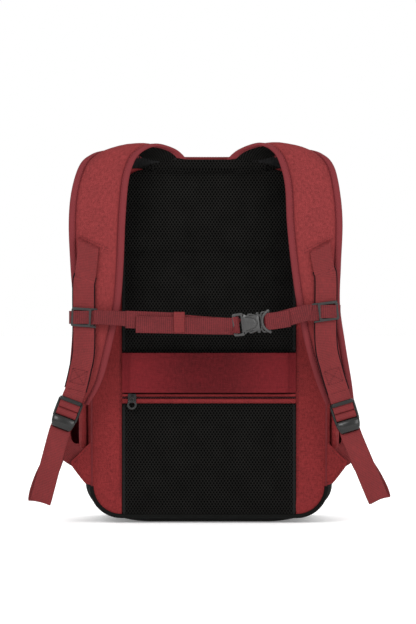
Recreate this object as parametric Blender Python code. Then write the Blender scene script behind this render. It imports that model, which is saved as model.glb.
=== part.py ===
"""Travel backpack: a soft clamshell bag with a padded harness, a buckled chest strap and strap adjusters.

Every length below is in millimetres and is scaled to metres as each mesh is made. +X is to the right of
somebody facing the harness, -Y is the harness side, +Z is up, and the origin is the middle of the base.
"""

import math

import bmesh
import bpy
from mathutils import Vector

MM = 0.001
GAP = 0.4  # between pieces that touch
CUT = 5.0  # how far a cutter runs past what it cuts

# The bag
HALF_WIDTH = 149.0
HEIGHT = 438.0
BACK_Y = -82.6
FRONT_Y = 92.0
SEAM_Y = 28.0  # the main zip's plane
BASE_HEIGHT = 48.0
WALL = 3.0
TOP_RADIUS = 55.0
BOTTOM_RADIUS = 46.0
BOTTOM_REACH = 76.0  # the lower corners are wider than they are tall
ARC_STEPS = 6
# How far the outline draws in at each depth: y, at the sides, at the top, at the bottom
EDGE_ROUNDING = [
    (BACK_Y, 12.0, 10.0, 6.0),
    (BACK_Y + 3.0, 6.0, 5.0, 2.5),
    (BACK_Y + 9.0, 2.0, 1.5, 0.5),
    (BACK_Y + 19.0, 0.0, 0.0, 0.0),
    (FRONT_Y - 30.0, 0.0, 0.0, 0.0),
    (FRONT_Y - 13.0, 4.0, 6.0, 0.5),
    (FRONT_Y - 4.0, 12.0, 17.0, 4.0),
    (FRONT_Y, 20.0, 27.0, 9.0),
]

# The harness side
PANEL_THICKNESS = 2.0
PANEL_Y = BACK_Y - GAP - PANEL_THICKNESS
PANEL_HALF_WIDTH = 141.0
PANEL_Z = (8.5, 434.0)
PAD_HALF_WIDTH = 105.0
PAD_PROFILE = [(0.0, 0.0), (0.0, 4.0), (3.0, 6.8), (10.0, 10.0), (24.0, 12.0)]  # inset, depth
LOWER_PAD_Z = (9.0, 143.5)
MIDDLE_PAD_Z = (207.0, 322.0)
UPPER_PAD_Z = (327.0, 426.5)
BAND_Z = (157.0, 205.0)
REAR_ZIP_Z = 150.2
TAPE_HALF_WIDTH = 5.2
TAPE_THICKNESS = 1.8
REAR_SLIDER_X = -93.0
REAR_SLIDER_Y = (-87.6, -94.4)
REAR_PULL_Y = -96.0
FRONT_ZIP_Z = 318.0
FRONT_SLIDER_X = -92.0
FRONT_SLIDER_Y = (94.6, 99.0)
FRONT_PULL_Y = 100.6
SLIDER_HALF_WIDTH = 3.6
SLIDER_HALF_LENGTH = 4.6
PULL_HALF_WIDTH = 4.8
PULL_HALF_THICKNESS = 1.0

# Webbing and buckles
WEBBING = 25.0
CHEST_WEBBING = 20.0
WEBBING_THICKNESS = 1.4
STERNUM_Y = -148.2
STRAP_WEBBING_Y = -142.0
LOCK_Y = -134.0
BUCKLE_TILT = math.radians(6.5)
BUCKLE_ORIGIN = Vector((28.3, 0.0, 238.4))
BUCKLE_Y = -150.0

HARNESS_AXIS = Vector((0.0, -92.0, 433.0))
LID_AXIS = Vector((0.0, FRONT_Y, BASE_HEIGHT))
HANDLE_AXIS = Vector((0.0, -78.0, 441.3))

# Each strap's edges, from its root over the shoulder arch to its lower end: inner edge, outer edge
STRAP_EDGES = {
    "left": [
        ((-23, -93, 434), (-73, -93, 431)),
        ((-38, -102, 449), (-98, -99, 444)),
        ((-62, -115, 455), (-124, -107, 446)),
        ((-82, -125, 445), (-143, -113, 442)),
        ((-92, -131, 427), (-156, -120, 429)),
        ((-97, -135, 402), (-165, -125, 398)),
        ((-100, -137, 360), (-168, -127, 360)),
        ((-102, -137, 310), (-166, -127, 310)),
        ((-106, -136, 262), (-163, -126, 262)),
        ((-116, -132, 215), (-165, -122, 213)),
        ((-128, -127, 172), (-170, -118, 172)),
        ((-144, -123, 143), (-176, -116, 149)),
    ],
    "right": [
        ((17, -93, 434), (68, -93, 431)),
        ((34, -102, 449), (94, -99, 445)),
        ((59, -115, 456), (118, -107, 447)),
        ((77, -125, 446), (137, -113, 443)),
        ((86, -131, 427), (150, -120, 429)),
        ((91, -135, 402), (157, -125, 398)),
        ((93, -137, 360), (160, -127, 360)),
        ((98, -137, 310), (158, -127, 310)),
        ((105, -136, 262), (157, -126, 262)),
        ((115, -132, 215), (164, -122, 213)),
        ((128, -127, 172), (171, -118, 172)),
        ((140, -123, 143), (174, -116, 149)),
    ],
}
STRAP_HALF_THICKNESS = [4.0, 5.0, 6.0, 6.5, 6.5, 6.5, 6.5, 6.5, 6.5, 6.0, 5.0, 4.0]
STRAP_EDGE_HALF = 1.6
STRAP_ACROSS = (-1.0, -0.6, 0.0, 0.6, 1.0)

SIDES = {"left": -1, "right": 1}
SLIDER_CENTRE = {"left": (-149.5, 248.0), "right": (139.5, 255.0)}
LOCK_PIVOT = {"left": Vector((-164.4, LOCK_Y, 148.4)), "right": Vector((158.5, LOCK_Y, 145.6))}
LOCK_TILT = {"left": math.radians(21.0), "right": math.radians(17.0)}
WEBBING_TOP = {"left": Vector((-143.5, -142.2, 337.0)), "right": Vector((132.5, -142.2, 331.0))}
TAIL_END = {"left": Vector((-199.8, -139.0, 32.0)), "right": Vector((200.4, -139.0, 34.5))}
WING_TIP_X = 167.0

RED = (0.29, 0.045, 0.05)
DARK_RED = (0.2, 0.028, 0.035)
BLACK_MESH = (0.012, 0.012, 0.013)
BLACK = (0.02, 0.02, 0.02)
GREY = (0.05, 0.05, 0.05)


def clear_scene():
    for old in list(bpy.data.objects):
        bpy.data.objects.remove(old)


def make_material(name, colour, roughness, metallic=0.0):
    material = bpy.data.materials.new(name)
    material.use_nodes = True
    shader = material.node_tree.nodes["Principled BSDF"]
    shader.inputs["Base Color"].default_value = (*colour, 1.0)
    shader.inputs["Roughness"].default_value = roughness
    shader.inputs["Metallic"].default_value = metallic
    return material


FINISHES = {
    "fabric": (RED, 0.85, 0.0),
    "webbing": (DARK_RED, 0.75, 0.0),
    "mesh": (BLACK_MESH, 0.9, 0.0),
    "black_fabric": (BLACK, 0.8, 0.0),
    "plastic": (GREY, 0.35, 0.0),
    "metal": (BLACK, 0.4, 0.8),
}


def add(name, verts, faces, finish, parent=None):
    """A named object from points in millimetres, its faces turned outwards."""
    mesh = bpy.data.meshes.new(name)
    mesh.from_pydata([tuple(Vector(v) * MM) for v in verts], [], faces)
    shape = bmesh.new()
    shape.from_mesh(mesh)
    bmesh.ops.recalc_face_normals(shape, faces=shape.faces)
    shape.to_mesh(mesh)
    shape.free()
    mesh.shade_smooth()
    mesh.set_sharp_from_angle(angle=math.radians(35))
    colour, roughness, metallic = FINISHES[finish]
    mesh.materials.append(make_material(name, colour, roughness, metallic))
    piece = bpy.data.objects.new(name, mesh)
    bpy.context.scene.collection.objects.link(piece)
    if parent is not None:
        piece.parent = parent
        piece.matrix_parent_inverse = parent.matrix_world.inverted()
    return piece


def pivot(name, place):
    """An empty on a joint's axis, which the moving pieces hang from."""
    empty = bpy.data.objects.new(name, None)
    empty.location = Vector(place) * MM
    bpy.context.scene.collection.objects.link(empty)
    bpy.context.view_layer.update()
    return empty


def cut(piece, verts, faces):
    """Takes the solid made of these points away from the piece."""
    cutter = add(piece.name + "_cutter", verts, faces, "plastic")
    cutter.display_type = "WIRE"
    cutter.hide_render = True
    boolean = piece.modifiers.new("cut", "BOOLEAN")
    boolean.operation = "DIFFERENCE"
    boolean.solver = "EXACT"
    boolean.object = cutter


def loft(rings):
    """Points and faces of the skin through rings with equal point counts, closed at both ends."""
    count = len(rings[0])
    verts = [p for ring in rings for p in ring]
    faces = [tuple(range(count))]
    for i in range(len(rings) - 1):
        for j in range(count):
            k = (j + 1) % count
            faces.append((i * count + j, (i + 1) * count + j, (i + 1) * count + k, i * count + k))
    last = (len(rings) - 1) * count
    faces.append(tuple(range(last + count - 1, last - 1, -1)))
    return verts, faces


def block(x, y, z):
    """A box between pairs of coordinates."""
    ring = [(x[0], z[0]), (x[1], z[0]), (x[1], z[1]), (x[0], z[1])]
    return loft([[(a, depth, b) for a, b in ring] for depth in y])


def rounded_outline(
    half_width, low, high, low_radius, high_radius, steps=ARC_STEPS, middle=0.0, low_reach=None
):
    """A rounded rectangle in X and Z, anticlockwise seen from the harness side. low_reach widens the
    lower corners."""
    reach = low_reach or low_radius
    corners = [
        (half_width - reach, low + low_radius, reach, low_radius, -90),
        (half_width - high_radius, high - high_radius, high_radius, high_radius, 0),
        (-half_width + high_radius, high - high_radius, high_radius, high_radius, 90),
        (-half_width + reach, low + low_radius, reach, low_radius, 180),
    ]
    points = []
    for cx, cz, wide, tall, start in corners:
        for i in range(steps + 1):
            a = math.radians(start + 90 * i / steps)
            points.append((middle + cx + wide * math.cos(a), cz + tall * math.sin(a)))
    return points


def plate(outline, y0, y1):
    return loft([[(x, y, z) for x, z in outline] for y in (y0, y1)])


def smooth_path(points, steps):
    """Points on a Catmull-Rom curve through the given ones."""
    p = [Vector(q) for q in points]
    p = [2 * p[0] - p[1], *p, 2 * p[-1] - p[-2]]
    out = []
    for i in range(1, len(p) - 2):
        for s in range(steps):
            t = s / steps
            out.append(
                0.5
                * (
                    2 * p[i]
                    + (p[i + 1] - p[i - 1]) * t
                    + (2 * p[i - 1] - 5 * p[i] + 4 * p[i + 1] - p[i + 2]) * t * t
                    + (3 * p[i] - p[i - 1] - 3 * p[i + 1] + p[i + 2]) * t**3
                )
            )
    out.append(p[-2])
    return out


def tangents(route):
    ends = [(max(i - 1, 0), min(i + 1, len(route) - 1)) for i in range(len(route))]
    return [(route[b] - route[a]).normalized() for a, b in ends]


def level_sides(route):
    """The direction across each point of a strip that faces the harness side without a twist."""
    found = [Vector((-t.z, 0.0, t.x)).normalized() for t in tangents(route)]
    return [s if s.x > 0 else -s for s in found]


def ribbon(route, sides, width, thickness):
    """Flat webbing along a route. sides holds each point's direction across the webbing."""
    route = [Vector(p) for p in route]
    rings = []
    for point, along, side in zip(route, tangents(route), sides):
        across = (side - along * side.dot(along)).normalized() * width / 2
        up = across.cross(along).normalized() * thickness / 2
        rings.append([point - across - up, point + across - up, point + across + up, point - across + up])
    return loft(rings)


# ---- the bag's shells


def insets_at(y):
    """How far the bag's outline draws in at this depth."""
    stations = EDGE_ROUNDING
    for a, b in zip(stations, stations[1:]):
        if y <= b[0]:
            t = (y - a[0]) / (b[0] - a[0])
            return [a[i] + (b[i] - a[i]) * t for i in (1, 2, 3)]
    return list(stations[-1][1:])


def body_ring(y, place, wall=0.0):
    """The bag's outline at depth y, drawn in by a wall, placed at another depth."""
    side, top, bottom = insets_at(y)
    outline = rounded_outline(
        HALF_WIDTH - side - wall,
        bottom + wall,
        HEIGHT - top - wall,
        BOTTOM_RADIUS - 0.4 * side - wall,
        TOP_RADIUS - 0.4 * top - wall,
        low_reach=BOTTOM_REACH - 0.4 * side - wall,
    )
    return [(x, place, z) for x, z in outline]


def depths(low, high):
    inside = [s[0] for s in EDGE_ROUNDING if low < s[0] < high]
    return [low, *inside, high]


def body_rings(low, high, wall=0.0, shift_low=0.0, shift_high=0.0):
    """Rings from depth low to high. The end ones may be placed nearer or further."""
    ys = depths(low, high)
    places = [low + shift_low, *ys[1:-1], high + shift_high]
    places = [min(max(p, low + shift_low), high + shift_high) for p in places]
    return [body_ring(y, place, wall) for y, place in zip(ys, places)]


def make_rear_shell():
    outer = body_rings(BACK_Y, SEAM_Y)
    inner = [
        body_ring(BACK_Y, BACK_Y + WALL, WALL),
        body_ring(BACK_Y + 9.0, BACK_Y + 9.0, WALL),
        body_ring(BACK_Y + 19.0, BACK_Y + 19.0, WALL),
        body_ring(SEAM_Y, SEAM_Y, WALL),
    ]
    shell = add("rear_shell", *loft(outer + inner[::-1]), "fabric")
    wide = HALF_WIDTH + CUT
    cut(shell, *block((-wide, wide), (BACK_Y - CUT, SEAM_Y + CUT), (-CUT, BASE_HEIGHT + GAP)))


def make_base_boot():
    boot = add("base_boot", *loft(body_rings(BACK_Y, FRONT_Y)), "black_fabric")
    wide = HALF_WIDTH + CUT
    cut(boot, *loft(body_rings(BACK_Y, FRONT_Y, WALL, WALL, -WALL)))
    cut(boot, *block((-wide, wide), (BACK_Y - CUT, FRONT_Y + CUT), (BASE_HEIGHT, HEIGHT + CUT)))


def make_front_panel(lid):
    back = SEAM_Y + GAP
    outer = body_rings(back, FRONT_Y)
    inner = [
        body_ring(back, back, WALL),
        body_ring(FRONT_Y - 30.0, FRONT_Y - 30.0, WALL),
        body_ring(FRONT_Y - 13.0, FRONT_Y - 13.0, WALL),
        body_ring(FRONT_Y - 4.0, FRONT_Y - 6.0, WALL),
        body_ring(FRONT_Y, FRONT_Y - WALL, WALL),
    ]
    panel = add("front_panel", *loft(outer[::-1] + inner), "fabric", lid)
    wide = HALF_WIDTH + CUT
    low = BASE_HEIGHT + 0.8
    cut(panel, *block((-wide, wide), (back - CUT, FRONT_Y + CUT), (-CUT, low)))


def zip_chain(name, y0, y1, parent=None):
    """One side of the main zip: a strip over the bag's outline from the boot up, across and down."""
    rings = []
    for proud in (GAP, 2.0):
        outline = rounded_outline(
            HALF_WIDTH + proud, -proud, HEIGHT + proud, BOTTOM_RADIUS, TOP_RADIUS + proud
        )
        top = outline[ARC_STEPS + 1 : 3 * (ARC_STEPS + 1)]
        foot = BASE_HEIGHT + 6.0
        rings.append([(top[0][0], foot), *top, (top[-1][0], foot)])
    inner, outer = rings
    sections = []
    for a, b in zip(inner, outer):
        sections.append([(a[0], y0, a[1]), (b[0], y0, b[1]), (b[0], y1, b[1]), (a[0], y1, a[1])])
    add(name, *loft(sections), "black_fabric", parent)


# ---- the harness side of the bag


def make_pad(name, low, high, finish="mesh", low_radius=10.0, high_radius=10.0):
    rings = []
    for inset, depth in PAD_PROFILE:
        outline = rounded_outline(
            PAD_HALF_WIDTH - inset,
            low + inset,
            high - inset,
            max(low_radius - 0.5 * inset, 3.0),
            max(high_radius - 0.5 * inset, 3.0),
            steps=4,
        )
        rings.append([(x, PANEL_Y - GAP - depth, z) for x, z in outline])
    add(name, *loft(rings), finish)


def make_trolley_band():
    """Sewn down at both ends and open above and below, so a case's handle passes behind it."""
    route = [
        (-105, -86.9),
        (-99, -88.5),
        (-92, -94.5),
        (-50, -95.8),
        (0, -95.2),
        (50, -95.8),
        (92, -94.5),
        (99, -88.5),
        (105, -86.9),
    ]
    middle = (BAND_Z[0] + BAND_Z[1]) / 2
    points = [(x, y, middle) for x, y in route]
    up = Vector((0, 0, 1))
    add("trolley_band", *ribbon(points, [up] * len(points), BAND_Z[1] - BAND_Z[0], 2.6), "fabric")


def make_rear_zip():
    z = REAR_ZIP_Z
    tape = rounded_outline(PAD_HALF_WIDTH, z - TAPE_HALF_WIDTH, z + TAPE_HALF_WIDTH, 1.0, 1.0, steps=2)
    add("rear_zip_tape", *plate(tape, PANEL_Y - GAP, PANEL_Y - GAP - TAPE_THICKNESS), "fabric")
    make_slider("rear_zip", REAR_SLIDER_X, REAR_SLIDER_Y, z, REAR_PULL_Y, 13.2)


def make_slider(zip_name, x, y, z, pull_y, length):
    """A zip's slider and its pull, which hangs from its hinge line with a finger hole near its foot."""
    carrier = pivot(zip_name + "_runner", (x, y[0], z))
    body = rounded_outline(
        SLIDER_HALF_WIDTH, z - SLIDER_HALF_LENGTH, z + SLIDER_HALF_LENGTH, 1.6, 1.6, steps=2, middle=x
    )
    add(zip_name + "_slider", *plate(body, *y), "metal", carrier)
    hinge = pivot(zip_name + "_pull_axis", (x, pull_y, z))
    foot = z - length
    outline = rounded_outline(PULL_HALF_WIDTH, foot, z + 1.0, PULL_HALF_WIDTH - 0.4, 0.8, steps=4, middle=x)
    near, far = pull_y - PULL_HALF_THICKNESS, pull_y + PULL_HALF_THICKNESS
    pull = add(zip_name + "_pull", *plate(outline, near, far), "plastic", hinge)
    hole = rounded_outline(PULL_HALF_WIDTH - 2.2, foot + 2.0, foot + 7.2, 2.4, 2.4, steps=3, middle=x)
    cut(pull, *plate(hole, near - CUT, far + CUT))


def make_back_board():
    outline = rounded_outline(124.0, 60.0, 412.0, 20.0, 30.0, steps=3)
    add("back_board", *plate(outline, BACK_Y + WALL + GAP, BACK_Y + WALL + GAP + 1.8), "black_fabric")


def make_laptop_sleeve():
    """A padded panel with a bottom and two sides, open at the top, against the back board."""
    sleeve = add("laptop_sleeve", *block((-127, 127), (-76.8, -46.0), (56, 345)), "black_fabric")
    cut(sleeve, *block((-123, 123), (-76.8 - CUT, -50.0), (60, 345 + CUT)))


def make_side_pocket(side):
    """A bottle pocket: a bellied wall standing off the bag's side, open at the top."""
    sign = SIDES[side]
    back, front = -64.0, 17.0
    wall_x = HALF_WIDTH + 0.8
    foot = BASE_HEIGHT + 2.0
    levels = [(foot, 2.5), (foot + 6, 7.0), (foot + 16, 11.0), (foot + 32, 14.5), (104.0, 16.0), (152.0, 16.5)]

    def ring(z, belly, skin):
        points = []
        for i in range(11):
            a = math.pi * i / 10
            y = (back + front) / 2 - (front - back - 2 * skin) / 2 * math.cos(a)
            points.append((sign * (wall_x + belly * math.sin(a) ** 0.5), y, z))
        near = [(sign * wall_x, y, z) for y in (front - skin, back + skin)]
        return points[1:-1] + near

    outer = [ring(z, belly, 0.0) for z, belly in levels]
    pocket = add("side_pocket_" + side, *loft(outer), "fabric")
    inner = [ring(z, belly - 2.2, 2.2) for z, belly in levels[1:]]
    inner = [r[:-2] + [(x - sign * CUT, y, z) for x, y, z in r[-2:]] for r in inner]
    inner.append([(x, y, z + CUT) for x, y, z in inner[-1]])
    cut(pocket, *loft(inner))
    mouth = [(back - CUT, 92.0), (back + 14.0, 95.0), (front + CUT, 140.0), (front + CUT, 160.0), (back - CUT, 160.0)]
    cut(pocket, *loft([[(x, y, z) for y, z in mouth] for x in (sign * 120.0, sign * 190.0)]))


def make_wing(side):
    """The triangular tab on the bag's side seam that anchors the strap adjuster."""
    sign = SIDES[side]
    base = PANEL_HALF_WIDTH + 0.5
    corners = [(base, 44), (151, 49), (159, 60), (WING_TIP_X, 72), (159, 81), (151, 90), (base, 100)]
    rings = []
    for thickness in (0.0, 2.4):
        depth = [PANEL_Y + 3.6 - thickness - 0.45 * (x - base) for x, _ in corners]
        rings.append([(sign * x, y, z) for (x, z), y in zip(corners, depth)])
    add("wing_" + side, *loft(rings), "fabric")


def make_back_panel():
    """The sewn back panel that the pads, the band and the rear pocket's zip are stitched to."""
    outline = rounded_outline(PANEL_HALF_WIDTH, *PANEL_Z, 34.0, 52.0)
    add("back_panel", *plate(outline, BACK_Y - GAP, PANEL_Y), "fabric")


def make_strap_yoke():
    """The sewn-on strip along the back panel's top edge, where the straps and the handle meet."""
    outline = rounded_outline(82.0, 427.6, 437.0, 2.0, 4.0, steps=2)
    add("strap_yoke", *plate(outline, PANEL_Y - GAP, PANEL_Y - GAP - 1.8), "black_fabric")


def make_grab_handle():
    hinge = pivot("handle_axis", HANDLE_AXIS)
    route = [
        (-46, -79, 441.3),
        (-46, -66, 441.3),
        (-42, -54, 441.3),
        (-30, -47, 441.3),
        (0, -45, 441.3),
        (30, -47, 441.3),
        (42, -54, 441.3),
        (46, -66, 441.3),
        (46, -79, 441.3),
    ]
    points = smooth_path(route, 2)
    up = Vector((0, 0, 1))
    sides = [up.cross(t) for t in tangents(points)]
    add("grab_handle", *ribbon(points, sides, 18.0, 4.6), "webbing", hinge)


# ---- the front


def make_front_pocket(lid):
    profile = [(0.0, 0.4), (1.5, 7.0), (6.0, 11.5), (20.0, 14.0)]
    skin = 2.0
    outer, inner = [], []
    for inset, depth in profile:
        for rings, extra in ((outer, 0.0), (inner, skin)):
            outline = rounded_outline(
                108.0 - inset - extra,
                62.0 + inset + extra,
                302.0 - inset - extra,
                24.0 - 0.4 * inset - extra,
                24.0 - 0.4 * inset - extra,
                steps=4,
            )
            back = FRONT_Y + depth if extra == 0.0 else FRONT_Y + max(depth - skin, 0.4)
            rings.append([(x, back, z) for x, z in outline])
    add("front_pocket", *loft(outer[::-1] + inner), "fabric", lid)
    z = FRONT_ZIP_Z
    tape = rounded_outline(98.0, z - TAPE_HALF_WIDTH, z + TAPE_HALF_WIDTH, 1.0, 1.0, steps=2)
    tape_y = FRONT_Y + GAP
    add("front_zip_tape", *plate(tape, tape_y, tape_y + TAPE_THICKNESS), "black_fabric", lid)
    make_slider("front_zip", FRONT_SLIDER_X, FRONT_SLIDER_Y, z, FRONT_PULL_Y, 13.5)


def make_main_sliders():
    """The main zip's two sliders, which meet in the middle of the top, and the pulls lying on the lid."""
    top = HEIGHT + 2.0 + GAP
    for letter, x in (("a", -7.0), ("b", 7.0)):
        carrier = pivot("main_zip_runner_" + letter, (x, SEAM_Y, top))
        body = block((x - 5.0, x + 5.0), (SEAM_Y - 5.0, SEAM_Y + 6.0), (top, top + 3.6))
        add("main_zip_slider_" + letter, *body, "metal", carrier)
        z = top + 1.4
        axis = pivot("main_zip_pull_axis_" + letter, (x, SEAM_Y + 7.6, z))
        outline = rounded_outline(3.8, SEAM_Y + 6.6, SEAM_Y + 30.0, 1.0, 3.2, steps=4, middle=x)
        pull = add(
            "main_zip_pull_" + letter,
            *loft([[(a, b, c) for a, b in outline] for c in (z - 1.0, z + 1.0)]),
            "plastic",
            axis,
        )
        hole = rounded_outline(1.8, SEAM_Y + 24.0, SEAM_Y + 27.6, 1.6, 1.6, steps=2, middle=x)
        cut(pull, *loft([[(a, b, c) for a, b in hole] for c in (z - CUT, z + CUT)]))


# ---- the straps


def strap_rings(side):
    """Cross-sections of the padded strap, thick in the middle and thin at its bound edges."""
    inner = smooth_path([a for a, _ in STRAP_EDGES[side]], 2)
    outer = smooth_path([b for _, b in STRAP_EDGES[side]], 2)
    halves = smooth_path([(h, 0, 0) for h in STRAP_HALF_THICKNESS], 2)
    centres = [(a + b) / 2 for a, b in zip(inner, outer)]
    rings = []
    for a, b, centre, along, half in zip(inner, outer, centres, tangents(centres), halves):
        across = (b - a) / 2
        face = along.cross(across).normalized() * SIDES[side]
        heights = [
            STRAP_EDGE_HALF + (half.x - STRAP_EDGE_HALF) * (1 - abs(t) ** 3) for t in STRAP_ACROSS
        ]
        front = [centre + across * t + face * h for t, h in zip(STRAP_ACROSS, heights)]
        back = [centre + across * t - face * h for t, h in zip(STRAP_ACROSS, heights)]
        rings.append(front + back[::-1])
    return rings


def lock_frame(side):
    """The ladder lock's directions: across it, down it, and out of its face."""
    sign, tilt = SIDES[side], LOCK_TILT[side]
    down = Vector((sign * math.sin(tilt), 0.0, -math.cos(tilt)))
    across = Vector((math.cos(tilt), 0.0, sign * math.sin(tilt)))
    return across, down, Vector((0.0, -1.0, 0.0))


def lock_point(side, w, d, n):
    across, down, out = lock_frame(side)
    return LOCK_PIVOT[side] + across * w + down * d + out * n


def make_strap_webbing(side, harness):
    """Sewn to the strap's face at its top, straight where the chest strap's slider runs, then looped
    round the ladder lock's top bar."""
    x, z = SLIDER_CENTRE[side]
    upper = [
        WEBBING_TOP[side],
        Vector((0.35 * WEBBING_TOP[side].x + 0.65 * x, STRAP_WEBBING_Y, z + 50)),
        Vector((x, STRAP_WEBBING_Y, z + 36)),
        Vector((x, STRAP_WEBBING_Y, z - 36)),
    ]
    end = lock_point(side, 0, -14, 3.8)
    upper += [Vector((0.55 * x + 0.45 * end.x, -140.6, 0.45 * (z - 36) + 0.55 * end.z)), end]
    loop = [(-6, 3.8), (1, 3.8), (7.4, 3.3), (9.6, 0), (7.4, -3.3), (1, -3.8), (-6, -3.8), (-13, -3.8)]
    route = upper + [lock_point(side, 0, d, n) for d, n in loop]
    flat = Vector((1, 0, 0))
    tilted = lock_frame(side)[0]
    sides = [flat] * 4 + [flat.lerp(tilted, 0.5)] + [tilted] * (len(route) - 5)
    add("strap_webbing_" + side, *ribbon(route, sides, WEBBING, WEBBING_THICKNESS), "webbing", harness)


def make_adjuster_webbing(side, harness):
    """From the wing's tip up behind the ladder lock to its middle bar."""
    sign = SIDES[side]
    behind = lock_point(side, 0, 46, -31)
    lower = [
        Vector((sign * 163.0, -83.6, 63.0)),
        Vector((sign * 167.0, -84.0, 75.0)),
        Vector(((sign * 169.0 + behind.x) / 2, -87.0, 89.0)),
        behind,
    ]
    upper = [(36, -7.0), (28, -6.2), (21, -5.8), (16, -4.9), (12.8, -3.7)]
    route = lower + [lock_point(side, 0, d, n) for d, n in upper]
    sides = level_sides(route[:6]) + [lock_frame(side)[0]] * (len(route) - 6)
    add("adjuster_webbing_" + side, *ribbon(route, sides, WEBBING, WEBBING_THICKNESS), "webbing", harness)


def make_ladder_lock(side):
    across, down, out = lock_frame(side)
    hinge = pivot("lock_axis_" + side, LOCK_PIVOT[side])

    def slab(w, d, n):
        ring = [(w[0], d[0]), (w[1], d[0]), (w[1], d[1]), (w[0], d[1])]
        return loft([[lock_point(side, a, b, c) for a, b in ring] for c in n])

    # Seen from its edge: a thin top bar and middle, and a curved lip at the foot
    edge = [(-2.2, -1.7), (20, -1.7), (28, -1.2), (36, 0.8), (36, 3.4), (28, 4.2), (20, 2.6), (-2.2, 1.7)]
    body = loft([[lock_point(side, w, d, n) for d, n in edge] for w in (-15, 15)])
    lock = add("ladder_lock_" + side, *body, "plastic", hinge)
    for low, high in ((2.2, 13.2), (15.6, 21.6)):
        cut(lock, *slab((-12.9, 12.9), (low, high), (-CUT, CUT)))
    return hinge


def make_adjuster_tail(side, hinge):
    """Over the lock's middle bar, behind its lip and down to a folded hem."""
    loop = [(12, -1.2), (12, 1.6), (12.7, 3.4), (14.6, 4.1), (17.4, 3.8), (19.4, 2.2), (20.2, -0.4), (20.8, -2.8)]
    inside = loop + [(24, -3.6), (31, -3.3)]
    start = [lock_point(side, 0, d, n) for d, n in inside]
    below = lock_point(side, 0, 42, 1.0)
    end = TAIL_END[side]
    middle = (below + end) / 2 + Vector((0, -2.0, 0))
    along = (end - middle).normalized()
    aside = Vector((SIDES[side], 0.0, 0.0))
    hem = [
        end + along * 3.6 + Vector((0, 3.4, 0)) + aside,
        end + along * 2.6 + Vector((0, 8.4, 0)) + aside * 2.2,
        end - along * 4.0 + Vector((0, 11.0, 0)) + aside * 3.6,
        end - along * 34 + Vector((0, 9.0, 0)) + aside * 4.0,
    ]
    route = start + [below, middle, end, *hem]
    lower = level_sides([middle, end])[:1] * (len(route) - len(start))
    sides = [lock_frame(side)[0]] * len(start) + lower
    add("adjuster_tail_" + side, *ribbon(route, sides, WEBBING, WEBBING_THICKNESS), "webbing", hinge)


# ---- the chest strap


def buckle_point(a, w, y):
    """A point along the buckle's length and across it."""
    along = Vector((math.cos(BUCKLE_TILT), 0.0, math.sin(BUCKLE_TILT)))
    across = Vector((-math.sin(BUCKLE_TILT), 0.0, math.cos(BUCKLE_TILT)))
    return BUCKLE_ORIGIN + along * a + across * w + Vector((0.0, y, 0.0))


def buckle_slab(outline, y0, y1):
    return loft([[buckle_point(a, w, y) for a, w in outline] for y in (y0, y1)])


def rectangle(a0, a1, w0, w1):
    return [(a0, w0), (a1, w0), (a1, w1), (a0, w1)]


def make_buckle_socket(carrier):
    """A flat shell, open towards the plug and at its sides, with a bar for the webbing."""
    outline = [(0, -12.6), (1.5, -13.6), (12, -13.6), (32, -12.4), (32, 12.4), (12, 13.6), (1.5, 13.6), (0, 12.6)]
    socket = add("buckle_socket", *buckle_slab(outline, BUCKLE_Y + 4.8, BUCKLE_Y - 4.8), "plastic", carrier)
    cut(socket, *buckle_slab(rectangle(4.6, 10.6, -10.8, 10.8), BUCKLE_Y + 9, BUCKLE_Y - 9))
    cut(socket, *buckle_slab(rectangle(-3, 4.6, -10.8, 10.8), BUCKLE_Y + 9, BUCKLE_Y + 1.4))
    cut(socket, *buckle_slab(rectangle(-3, 4.6, -10.8, 10.8), BUCKLE_Y - 1.4, BUCKLE_Y - 9))
    cut(socket, *buckle_slab(rectangle(13.4, 36, -10.2, 10.2), BUCKLE_Y + 2.7, BUCKLE_Y - 2.7))
    cut(socket, *buckle_slab(rectangle(16, 28, -20, 20), BUCKLE_Y + 2.7, BUCKLE_Y - 2.7))


def make_buckle_plug():
    """Two prongs and a guide on a base with a bar for the webbing."""
    carrier = pivot("plug_runner", buckle_point(32, 0, BUCKLE_Y))
    outline = [(32.6, -12.8), (44.6, -12.8), (44.6, 12.8), (32.6, 12.8)]
    for a, w in ((32.6, 9.0), (27.0, 9.6), (18.0, 9.6), (16.4, 6.4), (27.0, 5.2), (32.0, 4.6)):
        outline.append((a, w))
    for a, w in ((32.0, 1.8), (15.0, 1.8), (15.0, -1.8), (32.0, -1.8)):
        outline.append((a, w))
    for a, w in ((32.0, -4.6), (27.0, -5.2), (16.4, -6.4), (18.0, -9.6), (27.0, -9.6), (32.6, -9.0)):
        outline.append((a, w))
    plug = add("buckle_plug", *buckle_slab(outline, BUCKLE_Y + 2.2, BUCKLE_Y - 2.2), "plastic", carrier)
    cut(plug, *buckle_slab(rectangle(35.2, 41.2, -10.8, 10.8), BUCKLE_Y + 9, BUCKLE_Y - 9))


def make_sternum_slider(side, carrier):
    """A keeper round the strap webbing, which it slides up and down."""
    x, z = SLIDER_CENTRE[side]
    y = STRAP_WEBBING_Y
    outline = rounded_outline(14.8, z - 11.4, z + 11.4, 2.0, 2.0, steps=2, middle=x)
    keeper = add("sternum_slider_" + side, *plate(outline, y + 2.6, y - 4.4), "plastic", carrier)
    cut(keeper, *block((x - 12.9, x + 12.9), (y + 1.2, y - 1.2), (z - 11.4 - CUT, z + 11.4 + CUT)))


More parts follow.
